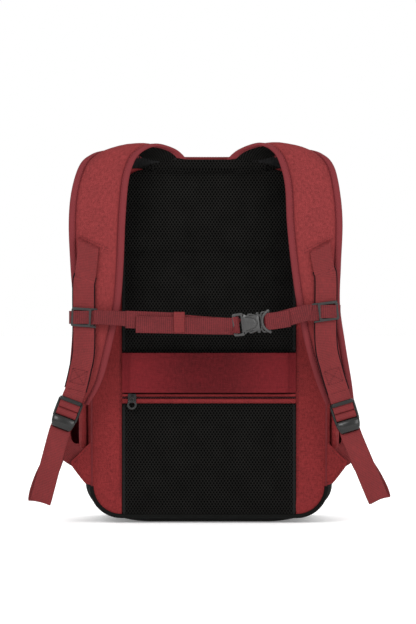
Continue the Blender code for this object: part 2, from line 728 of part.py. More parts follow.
def sternum_webbing_route(side):
    """Out from the slider, round the buckle's bar and back over itself."""
    x, z = SLIDER_CENTRE[side]
    y = STERNUM_Y
    if side == "left":
        bar = [(-8, 1.8), (2, 2.8), (5.2, 2.5), (6.8, 1.2), (7.2, 0), (6.8, -1.2), (5.2, -2.5), (2, -2.8), (-8, -1.0)]
        back = Vector((-87.0, -150.6, 245.4))
        first = [Vector((x + 16.0, -145.4, z)), Vector((x + 26.0, y, z))]
    else:
        bar = [(54, 1.8), (46, 3.4), (41.8, 3.4), (39.6, 3.0), (38.2, 1.6), (37.8, 0)]
        bar += [(38.2, -1.6), (39.6, -3.0), (41.8, -3.4), (46, -3.4), (54, -1.0)]
        back = Vector((96.0, -150.6, 246.8))
        first = [Vector((x - 16.0, -145.4, z - 1.5)), Vector((x - 24.0, y, z - 1.5))]
    return first + [buckle_point(a, 0, BUCKLE_Y + depth) for a, depth in bar] + [back]


def make_sternum_webbing(side, carrier):
    route = sternum_webbing_route(side)
    up = Vector((0, 0, 1))
    tilted = buckle_point(0, 1, 0) - buckle_point(0, 0, 0)
    sides = [up, up, *[tilted] * (len(route) - 3), up]
    name = "sternum_webbing_" + side
    add(name, *ribbon(route, sides, CHEST_WEBBING, WEBBING_THICKNESS), "webbing", carrier)


def make_elastic_keeper(carrier):
    """The elastic loop that holds the chest strap's spare end down."""
    x = (-42.0, -29.0)
    z = 242.0
    keeper = add("elastic_keeper", *block(x, (-146.2, -153.2), (z - 12.0, z + 12.0)), "webbing", carrier)
    cut(keeper, *block((x[0] - CUT, x[1] + CUT), (-147.1, -152.2), (z - 11.1, z + 11.1)))


def main():
    clear_scene()
    make_rear_shell()
    make_base_boot()
    make_back_panel()
    zip_chain("main_zip_rear_chain", SEAM_Y - 6.6, SEAM_Y - 0.2)
    make_pad("back_pad_lower", *LOWER_PAD_Z)
    make_pad("back_pad_middle", *MIDDLE_PAD_Z, high_radius=6.0)
    make_pad("back_pad_upper", *UPPER_PAD_Z, low_radius=6.0, high_radius=26.0)
    make_trolley_band()
    make_rear_zip()
    make_back_board()
    make_laptop_sleeve()
    make_strap_yoke()
    make_grab_handle()

    lid = pivot("lid_axis", LID_AXIS)
    make_front_panel(lid)
    zip_chain("main_zip_front_chain", SEAM_Y + GAP, SEAM_Y + 6.8, lid)
    make_front_pocket(lid)
    make_main_sliders()

    harness = pivot("harness_axis", HARNESS_AXIS)
    carrier = pivot("sternum_runner", (0.0, STERNUM_Y, SLIDER_CENTRE["left"][1]))
    for side in SIDES:
        make_side_pocket(side)
        make_wing(side)
        add("strap_" + side, *loft(strap_rings(side)), "fabric", harness)
        make_strap_webbing(side, harness)
        make_adjuster_webbing(side, harness)
        make_adjuster_tail(side, make_ladder_lock(side))
        make_sternum_slider(side, carrier)
        make_sternum_webbing(side, carrier)
    make_elastic_keeper(carrier)
    make_buckle_socket(carrier)
    make_buckle_plug()


main()
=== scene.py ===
import math

import bmesh
import bpy
import numpy as np
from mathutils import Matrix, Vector, noise


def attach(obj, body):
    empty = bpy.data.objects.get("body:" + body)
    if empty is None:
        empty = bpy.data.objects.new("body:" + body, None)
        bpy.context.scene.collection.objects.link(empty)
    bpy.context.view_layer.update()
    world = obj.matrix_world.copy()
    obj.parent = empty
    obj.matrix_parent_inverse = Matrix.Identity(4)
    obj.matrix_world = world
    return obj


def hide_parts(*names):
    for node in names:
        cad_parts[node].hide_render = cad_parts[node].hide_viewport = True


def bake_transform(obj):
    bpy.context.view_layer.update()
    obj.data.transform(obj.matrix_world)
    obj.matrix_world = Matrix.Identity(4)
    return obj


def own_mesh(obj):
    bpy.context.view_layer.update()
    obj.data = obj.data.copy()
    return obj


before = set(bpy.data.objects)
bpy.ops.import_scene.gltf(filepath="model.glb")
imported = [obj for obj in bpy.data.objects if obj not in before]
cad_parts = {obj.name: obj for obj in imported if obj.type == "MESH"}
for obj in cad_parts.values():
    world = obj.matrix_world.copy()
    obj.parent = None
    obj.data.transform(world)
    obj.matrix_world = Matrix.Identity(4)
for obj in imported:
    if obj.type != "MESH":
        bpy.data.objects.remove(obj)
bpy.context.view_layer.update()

# The looks of a travel backpack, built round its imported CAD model. Lengths are in millimetres and are scaled
# to metres as each mesh is made. +X is to the right of somebody facing the harness, -Y is the harness side.

MM = 0.001
UV_NAME = "weave"
TO_HARNESS = (0, -1, 0)

HALF_WIDTH = 149.0
HEIGHT = 438.0
BACK_Y = -82.6
FRONT_Y = 92.0
SEAM_Y = 28.0
BASE_HEIGHT = 48.0
TOP_RADIUS = 55.0
BOTTOM_RADIUS = 46.0
BOTTOM_REACH = 76.0
EDGE_ROUNDING = [
    (BACK_Y, 12.0, 10.0, 6.0),
    (BACK_Y + 3.0, 6.0, 5.0, 2.5),
    (BACK_Y + 9.0, 2.0, 1.5, 0.5),
    (BACK_Y + 19.0, 0.0, 0.0, 0.0),
    (FRONT_Y - 30.0, 0.0, 0.0, 0.0),
    (FRONT_Y - 13.0, 4.0, 6.0, 0.5),
    (FRONT_Y - 4.0, 12.0, 17.0, 4.0),
    (FRONT_Y, 20.0, 27.0, 9.0),
]

PANEL_Y = -85.0
PANEL_HALF_WIDTH = 141.0
PANEL_Z = (8.5, 434.0)
PAD_HALF_WIDTH = 105.0
LOWER_PAD_Z = (9.0, 143.5)
MIDDLE_PAD_Z = (207.0, 322.0)
UPPER_PAD_Z = (327.0, 426.5)
SQUARE_CORNERS = (2.5, 2.5)
BAND_Z = (157.0, 205.0)
REAR_ZIP_Z = 150.2
REAR_SLIDER_X = -93.0
FRONT_ZIP_Z = 318.0
FRONT_SLIDER_X = -92.0

WEBBING = 25.0
CHEST_WEBBING = 20.0
WEBBING_THICKNESS = 1.4
STERNUM_Y = -148.2
STRAP_WEBBING_Y = -142.0
LOCK_Y = -134.0
BUCKLE_TILT = math.radians(6.5)
BUCKLE_ORIGIN = Vector((28.3, 0.0, 238.4))
BUCKLE_Y = -150.0

STRAP_EDGES = {
    "left": [
        ((-23, -93, 434), (-73, -93, 431)),
        ((-38, -102, 449), (-98, -99, 444)),
        ((-62, -115, 455), (-124, -107, 446)),
        ((-82, -125, 445), (-143, -113, 442)),
        ((-92, -131, 427), (-156, -120, 429)),
        ((-97, -135, 402), (-165, -125, 398)),
        ((-100, -137, 360), (-168, -127, 360)),
        ((-102, -137, 310), (-166, -127, 310)),
        ((-106, -136, 262), (-163, -126, 262)),
        ((-116, -132, 215), (-165, -122, 213)),
        ((-128, -127, 172), (-170, -118, 172)),
        ((-144, -123, 143), (-176, -116, 149)),
    ],
    "right": [
        ((17, -93, 434), (68, -93, 431)),
        ((34, -102, 449), (94, -99, 445)),
        ((59, -115, 456), (118, -107, 447)),
        ((77, -125, 446), (137, -113, 443)),
        ((86, -131, 427), (150, -120, 429)),
        ((91, -135, 402), (157, -125, 398)),
        ((93, -137, 360), (160, -127, 360)),
        ((98, -137, 310), (158, -127, 310)),
        ((105, -136, 262), (157, -126, 262)),
        ((115, -132, 215), (164, -122, 213)),
        ((128, -127, 172), (171, -118, 172)),
        ((140, -123, 143), (174, -116, 149)),
    ],
}
STRAP_HALF_THICKNESS = [4.0, 5.0, 6.0, 6.5, 6.5, 6.5, 6.5, 6.5, 6.5, 6.0, 5.0, 4.0]

SIDES = {"left": -1, "right": 1}
SLIDER_CENTRE = {"left": (-149.5, 248.0), "right": (139.5, 255.0)}
LOCK_PIVOT = {"left": Vector((-164.4, LOCK_Y, 148.4)), "right": Vector((158.5, LOCK_Y, 145.6))}
LOCK_TILT = {"left": math.radians(21.0), "right": math.radians(17.0)}
WEBBING_TOP = {"left": Vector((-143.5, -142.2, 337.0)), "right": Vector((132.5, -142.2, 331.0))}
TAIL_END = {"left": Vector((-199.8, -139.0, 32.0)), "right": Vector((200.4, -139.0, 34.5))}


# ---- materials


class Material:
    """One Principled shader and the nodes that feed it."""

    def __init__(self, name, roughness, **values):
        self.data = bpy.data.materials.new(name)
        self.data.use_nodes = True
        self.nodes = self.data.node_tree.nodes
        self.shader = self.nodes["Principled BSDF"]
        self.shader.inputs["Roughness"].default_value = roughness
        for socket, value in values.items():
            self.shader.inputs[socket.replace("_", " ")].default_value = value
        self.flat = self.nodes.new("ShaderNodeUVMap")
        self.flat.uv_map = UV_NAME

    def feed(self, socket, source):
        if isinstance(source, bpy.types.NodeSocket):
            self.data.node_tree.links.new(source, socket)
        else:
            socket.default_value = source

    def math(self, operation, *sources):
        node = self.nodes.new("ShaderNodeMath")
        node.operation = operation
        for socket, source in zip(node.inputs, sources):
            self.feed(socket, source)
        return node.outputs[0]

    def vector(self, operation, *sources):
        node = self.nodes.new("ShaderNodeVectorMath")
        node.operation = operation
        for socket, source in zip(node.inputs, sources):
            self.feed(socket, source)
        return node.outputs["Value" if operation == "LENGTH" else "Vector"]

    def per_mm(self, along, across):
        """Surface coordinates that rise by one every so many millimetres along and across."""
        return self.vector("MULTIPLY", self.flat.outputs[0], (1 / (along * MM), 1 / (across * MM), 0.0))

    def total(self, *terms):
        """The sum of the sources, each times its weight."""
        out = None
        for source, weight in terms:
            term = self.math("MULTIPLY", source, weight)
            out = term if out is None else self.math("ADD", out, term)
        return out

    def parts(self, vector):
        node = self.nodes.new("ShaderNodeSeparateXYZ")
        self.feed(node.inputs[0], vector)
        return node.outputs[0], node.outputs[1]

    def noise(self, vector, detail=2.0, rough=0.5):
        node = self.nodes.new("ShaderNodeTexNoise")
        node.inputs["Scale"].default_value = 1.0
        node.inputs["Detail"].default_value = detail
        node.inputs["Roughness"].default_value = rough
        self.feed(node.inputs["Vector"], vector)
        return node.outputs[0]

    def wave(self, source):
        """A smooth wave from 0 to 1, one turn for each whole number."""
        turned = self.math("MULTIPLY", source, 2 * math.pi)
        return self.math("MULTIPLY_ADD", self.math("SINE", turned), 0.5, 0.5)

    def spread(self, source, low, high, out_low=0.0, out_high=1.0):
        node = self.nodes.new("ShaderNodeMapRange")
        for socket, value in zip(node.inputs, (source, low, high, out_low, out_high)):
            self.feed(socket, value)
        return node.outputs[0]

    def blend(self, factor, a, b):
        node = self.nodes.new("ShaderNodeMix")
        for socket, value in zip((node.inputs[0], node.inputs[2], node.inputs[3]), (factor, a, b)):
            self.feed(socket, value)
        return node.outputs[0]

    def colour(self, factor, stops):
        node = self.nodes.new("ShaderNodeValToRGB")
        ramp = node.color_ramp
        while len(ramp.elements) < len(stops):
            ramp.elements.new(0.5)
        for element, (place, value) in zip(ramp.elements, stops):
            element.position = place
            element.color = (*value, 1.0)
        self.feed(node.inputs[0], factor)
        self.feed(self.shader.inputs["Base Color"], node.outputs[0])

    def bump(self, height, depth_mm, strength=1.0):
        node = self.nodes.new("ShaderNodeBump")
        node.inputs["Strength"].default_value = strength
        node.inputs["Distance"].default_value = depth_mm * MM
        self.feed(node.inputs["Height"], height)
        self.feed(self.shader.inputs["Normal"], node.outputs[0])

    def roughen(self, factor, low, high):
        self.feed(self.shader.inputs["Roughness"], self.spread(factor, 0.3, 0.7, low, high))


def shades(colour, spread):
    """A dark, a middle and a light form of a colour, as ramp stops."""
    return [
        (0.22, tuple(c * (1 - spread) for c in colour)),
        (0.5, colour),
        (0.78, tuple(min(c * (1 + spread), 1.0) for c in colour)),
    ]


def heather(name, colour, spread=0.55, thread=1.5, streak=5.5, depth=0.2, shaded_middle=0.0):
    """Melange plain weave: uneven yarns run both ways and pass over and under each other."""
    m = Material(name, 0.95, Specular_IOR_Level=0.08)
    weft = m.noise(m.per_mm(streak, thread * 0.8), 3.0, 0.6)
    warp = m.noise(m.per_mm(thread * 0.8, streak), 3.0, 0.6)
    u, v = m.parts(m.per_mm(thread * 2, thread * 2))
    lattice = m.math("MULTIPLY", m.wave(u), m.wave(v))
    gap = m.math("MULTIPLY", m.wave(m.math("ADD", u, 0.5)), m.wave(m.math("ADD", v, 0.5)))
    over = m.math("ADD", lattice, gap)
    yarn = m.blend(over, warp, weft)
    cloudy = m.noise(m.per_mm(26.0, 26.0), 3.0, 0.55)
    slub = m.noise(m.per_mm(3.2, 4.6), 2.0, 0.6)
    tone = m.total((yarn, 0.6), (cloudy, 0.14), (slub, 0.26))
    # Painted shade and painted light: the tone drops towards the cloth's middle and rises towards its ends, in
    # place of the shade in a slack, recessed band.
    if shaded_middle:
        off_middle = m.math("ABSOLUTE", m.parts(m.flat.outputs[0])[0])
        tone = m.math("ADD", tone, m.spread(off_middle, shaded_middle * 0.2 * MM, shaded_middle * MM, -0.16, 0.17))
    m.colour(tone, shades(colour, spread))
    m.bump(m.math("ADD", m.math("MULTIPLY", over, 0.55), yarn), depth)
    m.roughen(cloudy, 0.84, 0.97)
    return m.data


def webbing(name, colour, spread=0.25, rib=1.9, depth=0.22):
    """Woven tape: fine ribs across it, lengthwise yarns over them and a tight selvedge."""
    m = Material(name, 0.78, Specular_IOR_Level=0.16)
    u, v = m.parts(m.per_mm(1.25, rib))
    weave = m.total((m.wave(v), 0.6), (m.wave(u), 0.4))
    fibre = m.noise(m.per_mm(0.9, 7.0), 3.0, 0.6)
    cloudy = m.noise(m.per_mm(18.0, 40.0), 2.0)
    m.colour(m.total((fibre, 0.55), (weave, 0.28), (cloudy, 0.18)), shades(colour, spread))
    m.bump(m.math("ADD", weave, m.math("MULTIPLY", fibre, 0.5)), depth)
    m.roughen(fibre, 0.62, 0.82)
    return m.data


def spacer_mesh(name, hole, thread, pitch=3.75):
    """Knitted spacer mesh: staggered oval holes between raised, lighter threads."""
    m = Material(name, 1.0, Specular_IOR_Level=0.03)
    cell = m.per_mm(pitch, pitch * 1.5)
    near = []
    for shift in (0.0, 0.5):
        moved = m.vector("ADD", cell, (shift, shift, 0.0))
        local = m.vector("SUBTRACT", m.vector("FRACTION", moved), (0.5, 0.5, 0.0))
        near.append(m.vector("LENGTH", m.vector("MULTIPLY", local, (1.0, 1.25, 0.0))))
    distance = m.math("MINIMUM", *near)
    wall = m.spread(distance, 0.17, 0.36)
    fibre = m.noise(m.per_mm(0.7, 1.6), 2.0, 0.6)
    cloudy = m.noise(m.per_mm(30.0, 30.0), 2.0)
    tone = m.math("MULTIPLY", wall, m.total((fibre, 0.9), (cloudy, 0.5)))
    m.colour(tone, [(0.08, hole), (0.9, thread)])
    m.bump(m.math("ADD", wall, m.math("MULTIPLY", fibre, 0.2)), 0.7)
    return m.data


def coated(name, colour, spread=0.3):
    """Black coated cloth: a fine grain with scuffed, slightly glossier patches."""
    m = Material(name, 0.75, Specular_IOR_Level=0.10)
    u, v = m.parts(m.per_mm(1.6, 1.6))
    grain = m.noise(m.per_mm(1.2, 1.2), 3.0, 0.7)
    cloudy = m.noise(m.per_mm(22.0, 22.0), 3.0)
    weave = m.math("MULTIPLY", m.wave(u), m.wave(v))
    m.colour(m.total((grain, 0.6), (cloudy, 0.4)), shades(colour, spread))
    m.bump(m.math("ADD", grain, m.math("MULTIPLY", weave, 0.6)), 0.12)
    m.roughen(cloudy, 0.66, 0.88)
    return m.data


def moulded(name, colour, roughness, metallic=0.0, shine=0.5):
    """Moulded acetal or painted metal: a fine spark grain and faint handling marks."""
    m = Material(name, roughness, Metallic=metallic, Specular_IOR_Level=shine)
    grain = m.noise(m.per_mm(0.5, 0.5), 2.0, 0.6)
    marks = m.noise(m.per_mm(6.0, 2.0), 3.0, 0.6)
    m.colour(m.total((grain, 0.4), (marks, 0.6)), shades(colour, 0.3))
    m.bump(grain, 0.03)
    m.roughen(marks, roughness - 0.07, roughness + 0.1)
    return m.data


def twill(name, colour):
    """Lining cloth: a fine diagonal rib."""
    m = Material(name, 0.8, Specular_IOR_Level=0.12)
    u, v = m.parts(m.per_mm(1.3, 1.3))
    rib = m.wave(m.math("ADD", u, v))
    cloudy = m.noise(m.per_mm(20.0, 20.0), 3.0)
    m.colour(m.total((rib, 0.4), (cloudy, 0.6)), shades(colour, 0.25))
    m.bump(rib, 0.1)
    return m.data


RED = heather("heather_red", (0.156, 0.0180, 0.0190), spread=0.74)
RED_STRAP = heather("heather_red_strap", (0.165, 0.0245, 0.0255), spread=0.68)
# The band's darker colour is partly its own cloth and partly painted shade of its recess. Its middle is
# darkened further by painted shade and its ends lightened by painted light.
RED_BAND = heather("heather_red_band", (0.104, 0.0096, 0.0122), thread=1.3, streak=9.0, shaded_middle=PAD_HALF_WIDTH)
RED_EDGE = webbing("edge_binding_red", (0.135, 0.0170, 0.0205), rib=1.2, depth=0.12)
RED_WEBBING = webbing("webbing_red", (0.128, 0.0155, 0.0168), spread=0.5)
RED_CHEST = webbing("webbing_chest_red", (0.102, 0.0130, 0.0150), spread=0.7, rib=2.5, depth=0.5)
RED_THREAD = webbing("thread_red", (0.080, 0.0100, 0.0130), rib=0.7, depth=0.08)
RED_LIGHT_THREAD = webbing("thread_light_red", (0.200, 0.0320, 0.0340), rib=0.7, depth=0.08)
RED_COIL = moulded("coil_red", (0.060, 0.0080, 0.0110), 0.5)
MESH = spacer_mesh("spacer_mesh_black", (0.0005, 0.0005, 0.0005), (0.0114, 0.0110, 0.0102))
STRIP = webbing("edge_strip_black", (0.0034, 0.0034, 0.0034), rib=1.4, depth=0.12)
BOOT = coated("coated_black", (0.0026, 0.0028, 0.0024))
TAPE = webbing("zip_tape_black", (0.010, 0.010, 0.010), rib=1.2, depth=0.1)
PLASTIC = moulded("acetal_black", (0.0060, 0.0060, 0.0055), 0.34, 0.0, 0.28)
BUCKLE = moulded("acetal_grey", (0.021, 0.0205, 0.0200), 0.34, 0.0, 0.55)
FRAME = moulded("acetal_dark", (0.014, 0.0140, 0.0135), 0.38, 0.0, 0.35)
GLOSS = moulded("acetal_gloss", (0.0035, 0.0035, 0.0030), 0.22, 0.0, 0.4)
METAL = moulded("painted_metal_black", (0.004, 0.004, 0.004), 0.30, 0.0, 0.3)
COIL = moulded("coil_black", (0.010, 0.010, 0.010), 0.42, 0.0, 0.3)
LINING = twill("lining_grey", (0.060, 0.060, 0.064))
LINING_RED = twill("lining_red", (0.090, 0.0090, 0.0150))
# Near-black cloth that paints shade: the dark of the gap over the rear zip and the shadow along the strap
# webbing's edges.
SHADE_BLACK = twill("painted_shade_black", (0.0040, 0.0008, 0.0022))
LINING_BLACK = twill("lining_black", (0.0060, 0.0060, 0.0062))


# ---- meshes


def turns(count):
    """Evenly spaced angles once round."""
    return [2 * math.pi * i / count for i in range(count)]


def circle(height, radius, count):
    """Points round a centre that is so far up."""
    return [(radius * math.cos(a), height + radius * math.sin(a)) for a in turns(count)]


class Shape:
    """Points, faces and, for each face, its material's number and its corners' surface coordinates."""

    def __init__(self):
        self.verts, self.faces, self.kinds, self.uvs = [], [], [], []

    def face(self, corners, kind=0, uv=None):
        self.faces.append(tuple(corners))
        self.kinds.append(kind)
        self.uvs.append(uv)

    def join(self, other, kind=None):
        start = len(self.verts)
        self.verts += other.verts
        for corners, own, uv in zip(other.faces, other.kinds, other.uvs):
            self.face([c + start for c in corners], own if kind is None else kind, uv)
        return self


def smooth_path(points, steps):
    """Points on a Catmull-Rom curve through the given ones."""
    p = [Vector(q) for q in points]
    p = [2 * p[0] - p[1], *p, 2 * p[-1] - p[-2]]
    out = []
    for i in range(1, len(p) - 2):
        for s in range(steps):
            t = s / steps
            out.append(
                0.5
                * (
                    2 * p[i]
                    + (p[i + 1] - p[i - 1]) * t
                    + (2 * p[i - 1] - 5 * p[i] + 4 * p[i + 1] - p[i + 2]) * t * t
                    + (3 * p[i] - p[i - 1] - 3 * p[i + 1] + p[i + 2]) * t**3
                )
            )
    out.append(p[-2])
    return out


def tangents(route, closed=False):
    n = len(route)
    if closed:
        return [(route[(i + 1) % n] - route[i - 1]).normalized() for i in range(n)]
    return [(route[min(i + 1, n - 1)] - route[max(i - 1, 0)]).normalized() for i in range(n)]


def lengths(route):
    out = [0.0]
    for a, b in zip(route, route[1:]):
        out.append(out[-1] + (b - a).length)
    return out


def resample(route, spacing):
    """The route's points at an even spacing, both ends kept."""
    route = [Vector(p) for p in route]
    run = lengths(route)
    count = max(int(round(run[-1] / spacing)), 2)
    out, k = [], 0
    for i in range(count + 1):
        s = run[-1] * i / count
        while k < len(run) - 2 and run[k + 1] < s:
            k += 1
        t = (s - run[k]) / max(run[k + 1] - run[k], 1e-9)
        out.append(route[k].lerp(route[k + 1], t))
    return out


def skin(rings, closed=True, caps=True, kinds=None):
    """A surface through rings of equal counts. kinds gives each column's material."""
    shape = Shape()
    count = len(rings[0])
    shape.verts = [Vector(p) for ring in rings for p in ring]
    middle = rings[len(rings) // 2]
    around = lengths([Vector(p) for p in middle] + ([Vector(middle[0])] if closed else []))
    centres = [sum((Vector(p) for p in ring), Vector()) / count for ring in rings]
    along = lengths(centres)
    if along[-1] < 1e-6:
        along = lengths([Vector(ring[0]) for ring in rings])
    columns = count if closed else count - 1
    for i in range(len(rings) - 1):
        for j in range(columns):
            k = (j + 1) % count
            corners = (i * count + j, (i + 1) * count + j, (i + 1) * count + k, i * count + k)
            u0, u1, v0, v1 = around[j], around[j + 1], along[i], along[i + 1]
            shape.face(corners, kinds[j] if kinds else 0, [(u0, v0), (u0, v1), (u1, v1), (u1, v0)])
    if caps:
        last = (len(rings) - 1) * count
        shape.face(range(count - 1, -1, -1), kinds[0] if kinds else 0)
        shape.face(range(last, last + count), kinds[0] if kinds else 0)
    return shape


def add(name, shape, materials, body, replaces=(), angle=40.0, box_uv=False, solid=0.0):
    """A finished piece that rides on a body. solid gives an open sheet its thickness, inwards."""
    mesh = bpy.data.meshes.new(name)
    mesh.from_pydata([tuple(v * MM for v in p) for p in shape.verts], [], shape.faces)
    layer = mesh.uv_layers.new(name=UV_NAME)
    for polygon, uv in zip(mesh.polygons, shape.uvs):
        if box_uv or uv is None:
            n = [abs(c) for c in polygon.normal]
            a, b = ((1, 2), (0, 2), (0, 1))[n.index(max(n))]
            for loop in polygon.loop_indices:
                co = mesh.vertices[mesh.loops[loop].vertex_index].co
                layer.data[loop].uv = (co[a], co[b])
        else:
            for loop, (u, v) in zip(polygon.loop_indices, uv):
                layer.data[loop].uv = (u * MM, v * MM)
    for polygon, kind in zip(mesh.polygons, shape.kinds):
        polygon.material_index = kind
    tidy = bmesh.new()
    tidy.from_mesh(mesh)
    bmesh.ops.recalc_face_normals(tidy, faces=tidy.faces)
    tidy.to_mesh(mesh)
    tidy.free()
    mesh.shade_smooth()
    mesh.set_sharp_from_angle(angle=math.radians(angle))
    for material in materials if isinstance(materials, (list, tuple)) else [materials]:
        mesh.materials.append(material)
    piece = bpy.data.objects.new(name, mesh)
    bpy.context.scene.collection.objects.link(piece)
    if solid:
        thick = piece.modifiers.new("thickness", "SOLIDIFY")
        thick.thickness = solid * MM
        thick.offset = -1.0
        thick.use_rim = True
        if len(mesh.materials) > 1:
            thick.material_offset = 1
    if body is not None:
        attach(piece, body)
    if replaces:
        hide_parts(*([replaces] if isinstance(replaces, str) else replaces))
    return piece


def rounded(half_width, low, high, low_radius, high_radius, arc=8, side=30, across=22, reach=None):
    """A rounded rectangle in X and Z with points all round, anticlockwise seen from the harness side."""
    reach = reach or low_radius
    corners = [
        (half_width - reach, low + low_radius, reach, low_radius, -90),
        (half_width - high_radius, high - high_radius, high_radius, high_radius, 0),
        (-half_width + high_radius, high - high_radius, high_radius, high_radius, 90),
        (-half_width + reach, low + low_radius, reach, low_radius, 180),
    ]
    arcs = []
    for cx, cz, wide, tall, start in corners:
        turn = [math.radians(start + 90 * i / arc) for i in range(arc + 1)]
        arcs.append([(cx + wide * math.cos(a), cz + tall * math.sin(a)) for a in turn])
    points = []
    for k, count in enumerate((side, across, side, across)):
        points += arcs[k]
        a, b = arcs[k][-1], arcs[(k + 1) % 4][0]
        points += [
            (a[0] + (b[0] - a[0]) * i / count, a[1] + (b[1] - a[1]) * i / count) for i in range(1, count)
        ]
    return points


def tube(route, radius, closed=False, sides=8, squash=1.0):
    """A round cord along a route; squash flattens it towards Y."""
    route = [Vector(p) for p in route]
    rings = []
    for point, along in zip(route, tangents(route, closed)):
        side = along.cross(Vector((0, 1, 0)))
        side = side.normalized() if side.length > 0.2 else along.cross(Vector((0, 0, 1))).normalized()
        up = side.cross(along).normalized()
        rings.append(
            [point + side * radius * math.cos(a) + up * radius * squash * math.sin(a) for a in turns(sides)]
        )
    if closed:
        rings.append(rings[0])
    return skin(rings, caps=not closed)


RIBBON = [(-1, 0.0), (-0.985, 0.8), (-0.94, 1.0), (-0.86, 0.86), (-0.4, 0.86), (0.0, 0.86)]
RIBBON_FRONT = RIBBON + [(-u, h) for u, h in RIBBON[-2::-1]]
RIBBON_RING = RIBBON_FRONT + [(u, -h) for u, h in RIBBON_FRONT[-2:0:-1]]


def ribbon(route, sides, width, thickness, steps=5, curl=0.0):
    """Woven tape with rounded selvedges. sides holds each route point's direction across the tape."""
    points = smooth_path(route, steps)
    turned = smooth_path(sides, steps)
    rings = []
    for point, along, side in zip(points, tangents(points), turned):
        across = (side - along * side.dot(along)).normalized()
        up = across.cross(along).normalized()
        ring = []
        for u, h in RIBBON_RING:
            lift = curl * (1 - u * u)
            ring.append(point + across * (u * width / 2) + up * (h * thickness / 2 + lift))
        rings.append(ring)
    return skin(rings)


def stitches(paths, outward=TO_HARNESS, pitch=3.4, length=2.3, radius=0.36):
    """Rows of short thread stitches lying on the paths. outward is a direction or a function of a point."""
    shape = Shape()
    for path in paths:
        places = resample(path, pitch)
        for point, along in zip(places[:-1], tangents(places)):
            point = point + along * (pitch / 2)
            out = outward(point) if callable(outward) else Vector(outward)
            side = along.cross(out).normalized()
            up = side.cross(along).normalized()
            stitch = Shape()
            stitch.verts = [point - along * (length / 2)]
            for end in (-0.3, 0.3):
                for a in range(4):
                    turn = math.pi * (a / 2 + 0.25)
                    lift = side * math.cos(turn) * radius + up * math.sin(turn) * radius * 0.8
                    stitch.verts.append(point + along * (length * end) + lift)
            stitch.verts.append(point + along * (length / 2))
            for a in range(4):
                b = (a + 1) % 4
                stitch.face((0, 1 + b, 1 + a))
                stitch.face((1 + a, 1 + b, 5 + b, 5 + a))
                stitch.face((5 + a, 5 + b, 9))
            shape.join(stitch)
    return shape


def crumple(shape, amount, size, seed, keep=None):
    """Moves points by smooth noise in Y and, less, in X, as slack cloth does. keep(p) scales it."""
    for i, p in enumerate(shape.verts):
        where = Vector(p) / size + Vector((seed * 7.3, seed * 3.1, seed * 5.7))
        n = noise.noise(where) + 0.4 * noise.noise(where * 2.3)
        scale = amount * (keep(p) if keep else 1.0)
        shape.verts[i] = Vector(p) + Vector((0.35 * n, n, 0.0)) * scale
    return shape


def plate(outer, holes, half, bevel, place):
    """A moulded plate with rounded edges and holes. place maps (a, b, height) to a point."""
    curve = bpy.data.curves.new("outline", "CURVE")
    curve.dimensions = "2D"
    curve.fill_mode = "BOTH"
    curve.extrude = half - bevel
    curve.bevel_depth = bevel
    curve.bevel_resolution = 2
    curve.offset = -bevel
    for outline in [outer, *holes]:
        spline = curve.splines.new("POLY")
        spline.points.add(len(outline) - 1)
        for point, (a, b) in zip(spline.points, outline):
            point.co = (a, b, 0.0, 1.0)
        spline.use_cyclic_u = True
    holder = bpy.data.objects.new("outline", curve)
    bpy.context.scene.collection.objects.link(holder)
    bpy.context.view_layer.update()
    mesh = bpy.data.meshes.new_from_object(holder.evaluated_get(bpy.context.evaluated_depsgraph_get()))
    bpy.data.objects.remove(holder)
    tidy = bmesh.new()
    tidy.from_mesh(mesh)
    bmesh.ops.remove_doubles(tidy, verts=tidy.verts, dist=0.004)
    bmesh.ops.dissolve_degenerate(tidy, edges=tidy.edges, dist=0.003)
    shape = Shape()
    shape.verts = [Vector(place(v.co.x, v.co.y, v.co.z)) for v in tidy.verts]
    tidy.verts.index_update()
    for f in tidy.faces:
        shape.face([v.index for v in f.verts], 0, [(v.co.x, v.co.y + v.co.z) for v in f.verts])
    tidy.free()
    bpy.data.meshes.remove(mesh)
    return shape


def round_corners(points, radius, steps=3):
    """A polygon with each corner turned into a small arc-like curve."""
    out = []
    n = len(points)
    for i in range(n):
        p = Vector((*points[i], 0.0))
        a = Vector((*points[i - 1], 0.0)) - p
        b = Vector((*points[(i + 1) % n], 0.0)) - p
        r = min(radius, a.length * 0.48, b.length * 0.48)
        start, end = p + a.normalized() * r, p + b.normalized() * r
        for s in range(steps + 1):
            t = s / steps
            q = start * (1 - t) ** 2 + p * 2 * t * (1 - t) + end * t * t
            out.append((q.x, q.y))
    return out


def rectangle(a0, a1, b0, b1, radius=0.8):
    return round_corners([(a0, b0), (a1, b0), (a1, b1), (a0, b1)], radius)


# ---- the bag


def insets_at(y):
    """How far the bag's outline draws in at this depth."""
    for a, b in zip(EDGE_ROUNDING, EDGE_ROUNDING[1:]):
        if y <= b[0]:
            t = (y - a[0]) / (b[0] - a[0])
            return [a[i] + (b[i] - a[i]) * t for i in (1, 2, 3)]
    return list(EDGE_ROUNDING[-1][1:])


def body_ring(y, shrink=0.0):
    side, top, bottom = insets_at(y)
    return [
        Vector((x, y, z))
        for x, z in rounded(
            HALF_WIDTH - side - shrink,
            bottom + shrink,
            HEIGHT - top - shrink,
            max(BOTTOM_RADIUS - 0.4 * side - 0.7 * shrink, 4.0),
            max(TOP_RADIUS - 0.4 * top - 0.7 * shrink, 4.0),
            arc=16,
            side=56,
            across=30,
            reach=max(BOTTOM_REACH - 0.4 * side - 0.7 * shrink, 4.0),
        )
    ]


BODY_STATIONS = [
    BACK_Y, BACK_Y + 1.2, BACK_Y + 3, BACK_Y + 5.5, BACK_Y + 9, BACK_Y + 14, BACK_Y + 19,
    *[BACK_Y + 26 + 7.5 * i for i in range(11)],
    SEAM_Y - 6.6, SEAM_Y, SEAM_Y + 6.8, 42, 50, 58, 66, 72, 79, 83.5, 88, 90.4, FRONT_Y,
]


